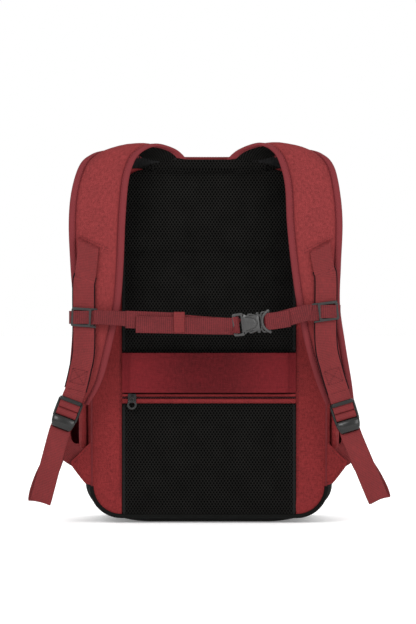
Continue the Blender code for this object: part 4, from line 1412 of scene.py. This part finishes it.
STRAP_STEPS = 16
FULL_HALF_THICKNESS = 6.5
EDGE_REACH = 9.6
SEAM_LINE = {"left": ((-154.8, 341.0), (-117.6, 324.0)), "right": ((110.4, 321.5), (151.0, 342.0))}
BINDING = [(0.5, 1.3), (2.0, 2.3), (5.0, 2.6), (7.2, 2.3), (8.3, 0.5), (9.4, 1.2)]
CROWN = [(0.06, 3.0), (0.18, 4.2), (0.36, 5.3), (0.62, 6.1), (1.0, 6.5)]
BACKING = [(0.5, 1.2), (2.0, 1.9), (5.0, 2.0), (7.6, 1.7), (8.6, 1.1), (9.6, 1.4)]
HOLLOW = [(0.06, 2.2), (0.18, 3.0), (0.36, 3.9), (0.62, 4.6), (1.0, 5.0)]


def above_seam(side, x, z):
    """How far a point on the strap's face is above its diagonal seam."""
    (x0, z0), (x1, z1) = SEAM_LINE[side]
    t = (x - x0) / (x1 - x0)
    return z - (z0 + (z1 - z0) * t)


def strap_frames(side):
    inner = smooth_path([a for a, _ in STRAP_EDGES[side]], STRAP_STEPS)
    outer = smooth_path([b for _, b in STRAP_EDGES[side]], STRAP_STEPS)
    halves = smooth_path([(h, 0, 0) for h in STRAP_HALF_THICKNESS], STRAP_STEPS)
    centres = [(a + b) / 2 for a, b in zip(inner, outer)]
    frames = []
    for a, b, along, half in zip(inner, outer, tangents(centres), halves):
        across = b - a
        width = across.length
        across = across.normalized()
        face = along.cross(across).normalized() * SIDES[side]
        frames.append((a, across, face, width, half.x / FULL_HALF_THICKNESS))
    return frames


def strap_point(frame_at, e, from_inner, height):
    a, across, face, width, _ = frame_at
    return a + across * (e if from_inner else width - e) + face * height


def make_strap(side):
    """A padded strap with bound edges, a mesh lining, and stitching along its edges and its seam."""
    frames = strap_frames(side)
    rings, kinds = [], []
    edge = len(BINDING)
    face_end = 2 * (len(BINDING) + len(CROWN))
    for f in frames:
        face, width, thick = f[2:]
        half_width = width / 2
        tight = min(1.0, half_width / 24.0)

        def stations(edge_list, middle_list):
            out = [(e * tight, h) for e, h in edge_list]
            start = EDGE_REACH * tight
            out += [(start + (half_width - start) * t, h) for t, h in middle_list]
            return out

        front = stations(BINDING, CROWN)
        back = stations(BACKING, HOLLOW)
        ring = [strap_point(f, 0.0, True, 0.0)]
        ring += [strap_point(f, e, True, h * thick) for e, h in front]
        ring += [strap_point(f, e, False, h * thick) for e, h in front[-2::-1]]
        ring += [strap_point(f, 0.0, False, 0.0)]
        ring += [strap_point(f, e, False, -h * thick) for e, h in back]
        ring += [strap_point(f, e, True, -h * thick) for e, h in back[-2::-1]]
        for j in range(len(ring)):
            on_face = edge < j < face_end - edge
            p = ring[j]
            soft = noise.noise(p / 30.0 + Vector((SIDES[side] * 9.0, 0, 0))) + 0.4 * noise.noise(p / 11.0)
            lift = 0.55 * soft if on_face else 0.2 * soft
            if on_face and p.z < 352:
                lift -= 0.9 * smoothstep(0.5 - above_seam(side, p.x, p.z) / 2.4)
            ring[j] = p + face * lift
        rings.append(ring)
        if not kinds:
            for j in range(len(ring)):
                on_mesh = face_end + edge <= j < len(ring) - edge
                on_binding = j < edge or j >= len(ring) - edge or face_end - edge <= j < face_end + edge
                kinds.append(2 if on_mesh else (1 if on_binding else 0))
    strap = add(
        "strap_%s_pad" % side, skin(rings, kinds=kinds), [RED_STRAP, RED_EDGE, MESH], "harness",
        "strap_" + side, angle=60
    )
    rows = []
    for from_inner in (True, False):
        rows.append(
            [strap_point(f, 7.0 * min(1.0, f[3] / 48), from_inner, 2.55 * f[4]) for f in frames[4:-4]]
        )
    outward = (0, -1, 0.15)
    add(
        "strap_%s_stitching" % side, stitches(rows, outward, radius=0.3), RED_LIGHT_THREAD, "harness",
    )
    (x0, z0), (x1, z1) = SEAM_LINE[side]
    seam_rows = []
    for drop in (1.8, 5.0):
        row = []
        for t in np.linspace(0.06, 0.94, 12):
            x, z = x0 + (x1 - x0) * t, z0 + (z1 - z0) * t + drop
            row.append(Vector((x, strap_face_y(frames, x, z) - 0.35, z)))
        seam_rows.append(row)
    add(
        "strap_%s_seam_stitching" % side, stitches(seam_rows, radius=0.3), RED_THREAD, "harness",
    )
    return frames


def strap_face_y(frames, x, z):
    """The strap face's depth at a place seen from the harness side."""
    a, across, face, width, thick = min(
        frames, key=lambda f: abs((f[0] + f[1] * f[3] / 2).z - z) if f[0].z < 425 else 1e9
    )
    s = (x - a.x) / across.x
    e = min(max(min(s, width - s), 0.0), width / 2)
    crown = [EDGE_REACH + (width / 2 - EDGE_REACH) * t for t, _ in CROWN]
    table_e = [0.0] + [t[0] for t in BINDING] + crown
    table_h = [0.0] + [t[1] for t in BINDING] + [h for _, h in CROWN]
    height = float(np.interp(e, table_e, table_h)) * thick
    return (a + across * s + face * height).y


def lock_frame(side):
    sign, tilt = SIDES[side], LOCK_TILT[side]
    down = Vector((sign * math.sin(tilt), 0.0, -math.cos(tilt)))
    across = Vector((math.cos(tilt), 0.0, sign * math.sin(tilt)))
    return across, down, Vector((0.0, -1.0, 0.0))


def lock_point(side, w, d, n):
    across, down, out = lock_frame(side)
    return LOCK_PIVOT[side] + across * w + down * d + out * n


def box_x(centre, across, down, width, height, y_out):
    """The paths of a sewn box with a cross in it."""
    corners = ((-1, -1), (1, -1), (1, 1), (-1, 1))
    out = Vector((0, y_out, 0))
    c = [centre + across * (sx * width / 2) + down * (sy * height / 2) + out for sx, sy in corners]
    return [[c[0], c[1]], [c[1], c[2]], [c[2], c[3]], [c[3], c[0]], [c[0], c[2]], [c[1], c[3]]]


def make_strap_webbing(side):
    """The webbing down the strap's face and round the lock's top bar."""
    x, z = SLIDER_CENTRE[side]
    top = WEBBING_TOP[side]
    upper = [
        top + Vector((0, 0.6, 14.0)),
        top + Vector((0, 0.3, -2.0)),
        Vector((0.35 * top.x + 0.65 * x, STRAP_WEBBING_Y, z + 50)),
        Vector((x, STRAP_WEBBING_Y, z + 36)),
        Vector((x, STRAP_WEBBING_Y, z - 36)),
    ]
    end = lock_point(side, 0, -14, 3.8)
    bend = Vector((0.55 * x + 0.45 * end.x, -140.6, 0.45 * (z - 36) + 0.55 * end.z))
    upper += [bend, end]
    loop = [
        (-6, 3.8), (1, 3.8), (8.2, 3.5), (10.6, 2.0), (10.4, -1.6), (7.6, -3.5), (1, -3.8), (-6, -3.8),
        (-13, -3.8)
    ]
    route = upper + [lock_point(side, 0, d, n) for d, n in loop]
    flat = Vector((1, 0, 0))
    tilted = lock_frame(side)[0]
    sides = [flat] * 5 + [flat.lerp(tilted, 0.5)] + [tilted] * (len(route) - 6)
    tape = ribbon(route, sides, WEBBING, WEBBING_THICKNESS, 8)
    for p in tape.verts:
        if p.z > 300:
            p.y += 9.0 * smoothstep((above_seam(side, p.x, p.z) + 1.0) / 4.0)
    name, cad = "strap_webbing_%s_tape" % side, "strap_webbing_" + side
    piece = add(name, tape, RED_WEBBING, None, cad)
    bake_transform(piece)
    # A near-black strip under the webbing, wider than it, paints the shadow along both its edges.
    under = ribbon(
        [p + Vector((0, 1.1, 0)) for p in route[2:7]], sides[2:7], width=WEBBING + 2.6, thickness=0.6,
        steps=8
    )
    add("strap_webbing_%s_backing" % side, under, SHADE_BLACK, "harness")
    middle = bend.lerp(end, 0.3)
    down = (end - bend).normalized()
    across = down.cross(Vector((0, -1, 0))).normalized()
    rows = box_x(middle, across, down, 18.0, 17.0, -1.0)
    rows += [[end + across * (-9.5) + Vector((0, -0.9, 0)), end + across * 9.5 + Vector((0, -0.9, 0))]]
    add(
        "strap_webbing_%s_box_stitching" % side, stitches(rows, pitch=2.6, length=1.9, radius=0.34),
        RED_THREAD, "harness"
    )


def level_sides(route):
    found = [Vector((-t.z, 0.0, t.x)).normalized() for t in tangents(route)]
    return [s if s.x > 0 else -s for s in found]


def make_adjuster_webbing(side):
    """From the wing's tip up behind the ladder lock to its middle bar."""
    sign = SIDES[side]
    behind = lock_point(side, 0, 46, -28)
    lower = [Vector((sign * 155, -87, 77)), Vector((sign * 163, -87.5, 81)), None, behind]
    lower[2] = Vector(((sign * 167 + behind.x) / 2, -92, 90))
    upper = [(36, -7.0), (28, -6.2), (21, -5.8), (16, -4.9), (12.8, -3.7)]
    route = lower + [lock_point(side, 0, d, n) for d, n in upper]
    sides = level_sides(route[:6]) + [lock_frame(side)[0]] * (len(route) - 6)
    piece = add(
        "adjuster_webbing_%s_tape" % side, ribbon(route, sides, WEBBING, WEBBING_THICKNESS, 6), RED_WEBBING,
        None, "adjuster_webbing_" + side
    )
    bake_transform(piece)


def make_ladder_lock(side):
    """A moulded ladder lock: a top bar over the webbing, two slots and a curved, glossy thumb lip."""
    outline = [(-12.0, -3), (12.0, -3), (14.8, 0.6), (15.2, 12), (14.6, 21), (13.2, 27)]
    outline += [(-13.2, 27), (-14.6, 21), (-15.2, 12), (-14.8, 0.6)]
    holes = [rectangle(-12.5, 12.5, 2.8, 13.0, 0.9), rectangle(-12.5, 12.5, 15.8, 21.2, 0.9)]

    def at(a, b, n):
        return lock_point(side, a, b, n)

    body = plate(round_corners(outline, 2.2, 4), holes, half=1.8, bevel=0.7, place=at)
    for w in (-13.9, 13.9):
        body.join(tube([at(w, 0.5, 1.4), at(w, 8, 2.4), at(w, 16, 2.6), at(w * 0.98, 23, 2.4)], 1.5))
    bar = Shape()
    rings = []
    for i in range(25):
        w = -14.3 + 28.6 * i / 24
        end = smoothstep((14.3 - abs(w)) / 3.2)
        n, low, high = 2.2 + 3.9 * end, 2.0 - 0.2 * end, 1.6 + 1.4 * end
        rings.append(
            [at(w, 0.2 + (high + low) / 2 * math.cos(a), n + 1.3 * math.sin(a)) for a in turns(16)]
        )
    bar.join(skin(rings))
    rings = []
    for d, n, half, thick in (
        (20.0, 1.4, 14.0, 1.5), (21.6, 2.6, 14.5, 2.2), (24.5, 3.4, 14.6, 2.6), (28.5, 4.0, 14.0, 2.7),
        (32.0, 3.8, 12.9, 2.3), (34.8, 2.8, 11.4, 1.7), (36.4, 1.4, 9.6, 0.9),
    ):
        ring = []
        for a in turns(28):
            w = math.copysign(abs(math.cos(a)) ** 0.55, math.cos(a)) * half
            h = math.copysign(abs(math.sin(a)) ** 0.8, math.sin(a)) * thick
            ring.append(at(w, d, n + h - 1.3 * (w / 14) ** 2))
        rings.append(ring)
    lock, cad = "lock_" + side, "ladder_lock_" + side
    add(cad + "_frame", body, PLASTIC, lock, cad, angle=50)
    add(cad + "_bar", bar, PLASTIC, lock, angle=50)
    add(cad + "_lip", skin(rings), GLOSS, lock, angle=50)


def make_adjuster_tail(side):
    """The tail comes over the lock's bars, out from under its lip and hangs to a folded end."""
    loop = [
        (12, -1.2), (12, 1.6), (12.7, 3.4), (14.6, 4.1), (17.4, 3.8), (19.4, 2.2), (20.2, -0.4),
        (20.8, -2.8)
    ]
    start = [lock_point(side, 0, d, n) for d, n in loop + [(24, -3.6), (31, -3.3)]]
    below = lock_point(side, 0, 42, 1.0)
    end = TAIL_END[side]
    middle = (below + end) / 2 + Vector((0, -2.0, 0))
    along = (end - middle).normalized()
    out = Vector((SIDES[side], 0, 0))
    fold = (
        (3.6, 3.4, 1.0), (2.6, 8.4, 3.4), (-8, 11.5, 4.4), (-24, 11.0, 3.0), (-42, 8.0, -0.4),
        (-64, 5.0, -1.6)
    )
    hem = [end + along * a + Vector((0, b, 0)) + out * c for a, b, c in fold]
    route = start + [below, middle, end, *hem]
    lower = level_sides([middle, end])[:1] * (len(route) - len(start))
    sides = [lock_frame(side)[0]] * len(start) + lower
    name, cad = "adjuster_tail_%s_tape" % side, "adjuster_tail_" + side
    piece = add(
        name, ribbon(route, sides, WEBBING, WEBBING_THICKNESS, 6), RED_WEBBING, None, cad
    )
    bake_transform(piece)
    across = lower[0]
    row = end - along * 6 + Vector((0, -0.6, 0))
    rows = [[row - across * 11, row + across * 11]]
    add(
        "adjuster_tail_%s_stitching" % side, stitches(rows, pitch=2.6, length=1.9), RED_THREAD, "harness",
    )


# ---- the chest strap


def buckle_point(a, w, y):
    along = Vector((math.cos(BUCKLE_TILT), 0.0, math.sin(BUCKLE_TILT)))
    across = Vector((-math.sin(BUCKLE_TILT), 0.0, math.cos(BUCKLE_TILT)))
    return BUCKLE_ORIGIN + along * a + across * w + Vector((0.0, y, 0.0))


def make_sternum_slider(side):
    """A frame on the strap webbing: a face with one window, two arms past it, side walls and bars behind."""
    x, z = SLIDER_CENTRE[side]
    turn = math.radians(-4.0 if side == "left" else 8.0)
    y = STRAP_WEBBING_Y

    def place(a, b, n):
        return (
            x + a * math.cos(turn) - b * math.sin(turn), y - 3.2 + n,
            z + a * math.sin(turn) + b * math.cos(turn)
        )

    sign = SIDES[side]

    def span(a0, a1, b0, b1, radius):
        return rectangle(*sorted((sign * a0, sign * a1)), b0, b1, radius)

    face = plate(
        span(14.6, -9.0, -11.4, 11.4, 2.4), [span(12.0, -5.8, -8.0, 8.0, 1.0)], half=1.3, bevel=0.5,
        place=place
    )
    for b in (-10.6, 10.6):
        face.join(plate(span(-8.0, -15.8, b - 0.9, b + 0.9, 0.6), [], half=0.9, bevel=0.4, place=place))
    shade = plate(
        span(-8.6, -12.6, -9.8, 9.8, 0.5), [], half=0.5, bevel=0.2,
        place=lambda a, b, n: place(a, b, n + 2.0)
    )
    face.join(shade)
    for s in (-1, 1):
        back = [(s * 12.9, -10.0), (s * 14.4, -10.0), (s * 14.4, 10.0), (s * 12.9, 10.0)]
        face.join(
            plate(
                round_corners(back, 0.5), [], half=2.6, bevel=0.4,
                place=lambda a, b, n: (x + a, y - 0.4 + n, z + b)
            )
        )
    for b0, b1 in ((-10.0, -5.0), (5.0, 10.0)):
        bar = rectangle(-14.4, 14.4, b0, b1, 0.8)
        face.join(plate(bar, [], half=0.6, bevel=0.3, place=lambda a, b, n: (x + a, y + 1.9 + n, z + b)))
    add(
        "sternum_slider_%s_frame" % side, face, FRAME, "chest_strap",
        "sternum_slider_" + side, angle=50
    )


def sternum_route(side):
    x, z = SLIDER_CENTRE[side]
    y = STERNUM_Y
    if side == "left":
        bar = [
            (-8, 1.8), (2, 2.8), (5.2, 2.5), (6.8, 1.2), (7.2, 0), (6.8, -1.2), (5.2, -2.5), (2, -2.8),
            (-8, -1.0)
        ]
        back = Vector((-87.0, -151.4, 239.6))
        first = [Vector((x + 9.0, -143.9, z)), Vector((x + 16.0, -145.6, z)), Vector((x + 26.0, y, z))]
    else:
        bar = [(54, 1.8), (46, 3.4), (41.8, 3.4), (39.6, 3.0), (38.2, 1.6), (37.8, 0)]
        bar += [(38.2, -1.6), (39.6, -3.0), (41.8, -3.4), (46, -3.4), (54, -1.0)]
        back = Vector((96.0, -150.6, 246.8))
        first = [
            Vector((x - 9.0, -143.9, z - 1)), Vector((x - 16.0, -145.6, z - 1.5)),
            Vector((x - 24.0, y, z - 1.5))
        ]
    return first + [buckle_point(a, 0, BUCKLE_Y + depth) for a, depth in bar] + [back]


def make_sternum_webbing(side):
    """The chest webbing from its slider to the buckle, and the piece that wraps the slider."""
    route = sternum_route(side)
    up = Vector((0, 0, 1))
    tilted = buckle_point(0, 1, 0) - buckle_point(0, 0, 0)
    sides = [up, up, up, *[tilted] * (len(route) - 4), up]
    shape = ribbon(route, sides, CHEST_WEBBING, WEBBING_THICKNESS, 6)
    for p in shape.verts:
        if abs(p.x) > 98 and p.y > -150:
            p.z += (246.0 - p.z) * 0.16 * smoothstep((abs(p.x) - 98) / 10) * (1 if side == "left" else 0.3)
    if side == "left":
        turned = [
            (-95.0, -148.9, 245.5), (-98.6, -149.3, 245.5), (-90.0, -149.5, 245.2), (-42.0, -149.5, 243.4)
        ]
        fold = ribbon(turned, [up] * 4, width=20.6, thickness=0.9, steps=6)
        add("sternum_fold_left_tape", fold, RED_CHEST, "chest_strap")
    piece = add(
        "sternum_webbing_%s_tape" % side, shape, RED_CHEST, "chest_strap",
        "sternum_webbing_" + side
    )
    x, z = SLIDER_CENTRE[side]
    sign = SIDES[side]
    wrap_route = [(-9.0, -144.2), (-3.0, -147.6), (3.0, -147.8), (9.0, -146.8)]
    wrap_route += [(15.2, -144.6), (16.6, -141.6), (12.0, -138.9)]
    wrap = ribbon(
        [Vector((x + sign * across, y, z)) for across, y in wrap_route], [up] * len(wrap_route), width=15.6,
        thickness=WEBBING_THICKNESS
    )
    add("sternum_wrap_%s_tape" % side, wrap, RED_CHEST, "chest_strap")
    if side == "right":
        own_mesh(piece)
    return route


def make_elastic_keeper():
    """An elastic loop round the chest webbing's loose end."""
    x0, z = -42.0, 242.0
    rings = []
    loop = round_corners([(-146.4, -12), (-146.4, 12), (-153.0, 12), (-153.0, -12)], 2.2, 5)
    section = [
        (0.0, 0.0), (0.3, 0.5), (1.2, 0.7), (6.5, 0.55), (11.8, 0.7), (12.7, 0.5), (13.0, 0.0),
        (12.7, -0.3), (6.5, -0.35), (0.3, -0.3)
    ]
    centre = Vector((0, -149.7, 0))
    for y, dz in loop:
        p = Vector((0, y, dz))
        out = (p - centre).normalized()
        rings.append([Vector((x0 + s, p.y + out.y * h, z + p.z + out.z * h)) for s, h in section])
    rings.append(rings[0])
    add(
        "elastic_keeper_loop", skin(rings, caps=False), RED_WEBBING, "chest_strap",
        "elastic_keeper"
    )


def make_buckle():
    """The side-release buckle: a socket on the left half and a plug on the right."""
    def at(shift):
        return lambda a, b, n: buckle_point(a, b, BUCKLE_Y + shift + n)

    # The socket's webbing frame, then a domed shell whose sides are open for the prongs
    frame_outline = round_corners(
        [
            (0, -12.2), (1.6, -13.6), (12, -13.8), (14.5, -11), (14.5, 11), (12, 13.8), (1.6, 13.6),
            (0, 12.2)
        ],
        1.4, 3
    )
    socket = plate(
        frame_outline, [rectangle(4.4, 10.2, -10.6, 10.6, 0.9)], half=2.3, bevel=0.8, place=at(0)
    )
    for sign in (-1, 1):
        rings = []
        for a, half, dome in (
            (12.4, 12.4, 2.6), (14.5, 11.6, 3.7), (18.0, 9.6, 4.4), (23.0, 8.6, 4.7), (28.0, 9.4, 4.5),
            (31.4, 10.6, 3.9), (32.2, 10.4, 3.2)
        ):
            ring = []
            for k in range(13):
                w = -half + 2 * half * k / 12
                ring.append(buckle_point(a, w, BUCKLE_Y + sign * (dome - 1.5 * (w / half) ** 4)))
            for k in range(12, -1, -1):
                w = -half + 2 * half * k / 12
                ring.append(buckle_point(a, w, BUCKLE_Y + sign * 2.3))
            rings.append(ring)
        socket.join(skin(rings))
    for sign in (-1, 1):
        rail = [(28.2, sign * 9.8), (32.0, sign * 10.2), (32.0, sign * 12.2), (29.2, sign * 12.4)]
        socket.join(plate(round_corners(rail, 0.7), [], half=3.4, bevel=0.6, place=at(0)))
    tongue = [
        (15.0, 8.4), (20.0, 7.6), (25.5, 5.4), (28.6, 2.6), (29.4, 0.0), (28.6, -2.6), (25.5, -5.4),
        (20.0, -7.6), (15.0, -8.4)
    ]
    seam = smooth_path([buckle_point(a, w, BUCKLE_Y - 4.45) for a, w in tongue], 4)
    socket.join(tube(seam, 0.55, sides=6))
    rings = []
    for a, half, rise in (
        (15.4, 7.6, 4.3), (18.0, 7.2, 4.9), (22.0, 6.3, 5.2), (26.0, 4.4, 5.0), (28.6, 1.6, 4.4)
    ):
        face = [
            buckle_point(a, half * (k / 4 - 1), BUCKLE_Y - rise + 0.5 * (k / 4 - 1) ** 2) for k in range(9)
        ]
        rings.append(face + [buckle_point(a, half * (1 - k / 4), BUCKLE_Y - 3.0) for k in range(9)])
    socket.join(skin(rings))
    add("buckle_socket_shell", socket, BUCKLE, "chest_strap", "buckle_socket", angle=50)

    base = round_corners(
        [
            (32.8, -8), (35, -12.8), (43.0, -12.8), (44.6, -10.5), (44.6, 10.5), (43.0, 12.8), (35, 12.8),
            (32.8, 8)
        ],
        1.6, 3
    )
    plug = plate(base, [rectangle(36.0, 41.0, -10.4, 10.4, 0.8)], half=2.2, bevel=0.8, place=at(0))
    for sign in (-1, 1):
        prong = smooth_path(
            [
                (33.5, sign * 8.2, 0), (29.0, sign * 8.2, 0), (24.5, sign * 9.4, 0), (20.5, sign * 10.2, 0),
                (17.4, sign * 8.6, 0)
            ],
            6
        )
        widths = np.linspace(2.0, 1.7, len(prong))
        rings = []
        for i, (p, t) in enumerate(zip(prong, tangents(prong))):
            n = Vector((-t.y, t.x, 0))
            half = widths[i] * (1.0 if i < len(prong) - 3 else 0.7)
            ring = []
            for a in turns(12):
                w = p + n * half * math.cos(a)
                ring.append(buckle_point(w.x, w.y, BUCKLE_Y + 2.1 * math.sin(a)))
            rings.append(ring)
        plug.join(skin(rings))
        for a in (19.5, 21.4, 23.3):
            plug.join(
                tube([buckle_point(a, sign * 11.6, BUCKLE_Y + h) for h in (-1.8, 0, 1.8)], 0.5, sides=6)
            )
    arc = [(44.6, 13.4), (40.4, 10.8), (36.6, 6.4), (35.0, 0.0), (36.6, -6.4), (40.4, -10.8), (44.6, -13.4)]
    plug.join(tube(smooth_path([buckle_point(a, w, BUCKLE_Y - 3.6) for a, w in arc], 5), 1.7, sides=10))
    guide = round_corners([(15.4, -1.5), (33, -2.2), (33, 2.2), (15.4, 1.5)], 0.8)
    plug.join(plate(guide, [], half=1.7, bevel=0.5, place=at(0)))
    add("buckle_plug_body", plug, BUCKLE, "plug", "buckle_plug", angle=50)


# ---- floor, light and camera


def make_stage():
    def put(name, data, place, turn=(0, 0, 0)):
        holder = bpy.data.objects.new(name, data)
        holder.location = place
        holder.rotation_euler = turn
        bpy.context.scene.collection.objects.link(holder)
        return holder

    size = 30.0
    floor = bpy.data.meshes.new("floor")
    floor.from_pydata(
        [(-size, -size, 0), (size, -size, 0), (size, size, 0), (-size, size, 0)], [], [(0, 1, 2, 3)]
    )
    pale = bpy.data.materials.new("floor_pale")
    pale.use_nodes = True
    for socket, value in (
        ("Base Color", (0.98, 0.98, 0.98, 1)),
        ("Emission Color", (1, 1, 1, 1)),
        ("Emission Strength", 0.2),
        ("Roughness", 0.9),
        ("Specular IOR Level", 0.1),
    ):
        pale.node_tree.nodes["Principled BSDF"].inputs[socket].default_value = value
    floor.materials.append(pale)
    ground = put("floor", floor, (0, 0, -0.0006))

    world = bpy.data.worlds.new("studio")
    world.use_nodes = True
    world.node_tree.nodes["Background"].inputs["Color"].default_value = (1, 1, 1, 1)
    world.node_tree.nodes["Background"].inputs["Strength"].default_value = 1.0
    scene = bpy.context.scene
    scene.world = world

    middle = Vector((0, 0, 0.25))
    for name, place, power, width in (
        ("key", (-1.1, -2.2, 1.6), 26.0, 1.2),
        ("fill", (1.6, -2.0, 1.1), 22.0, 1.4),
        ("back", (0.4, 2.2, 1.8), 16.0, 1.6),
    ):
        lamp = bpy.data.lights.new(name, "AREA")
        lamp.energy = power
        lamp.size = width
        put(name, lamp, place, (middle - Vector(place)).to_track_quat("-Z", "Y").to_euler())

    camera = bpy.data.cameras.new("camera")
    camera.lens = 192.0
    camera.sensor_width = 36.0
    camera.clip_end = 50.0
    scene.camera = put("camera", camera, (-0.0012, -4.11, 0.2544), (math.radians(90), 0, 0))
    scene.view_settings.view_transform = "Standard"


def main():
    make_stage()
    make_shells()
    make_main_zip()
    make_back_panel()
    make_pads()
    make_band()
    make_rear_zip()
    make_yoke()
    make_handle()
    make_inside()
    make_front_pocket()
    make_main_sliders()
    for side in SIDES:
        make_side_pocket(side)
        make_wing(side)
        make_strap(side)
        make_strap_webbing(side)
        make_adjuster_webbing(side)
        make_ladder_lock(side)
        make_adjuster_tail(side)
        make_sternum_slider(side)
        make_sternum_webbing(side)
    make_elastic_keeper()
    make_buckle()


main()
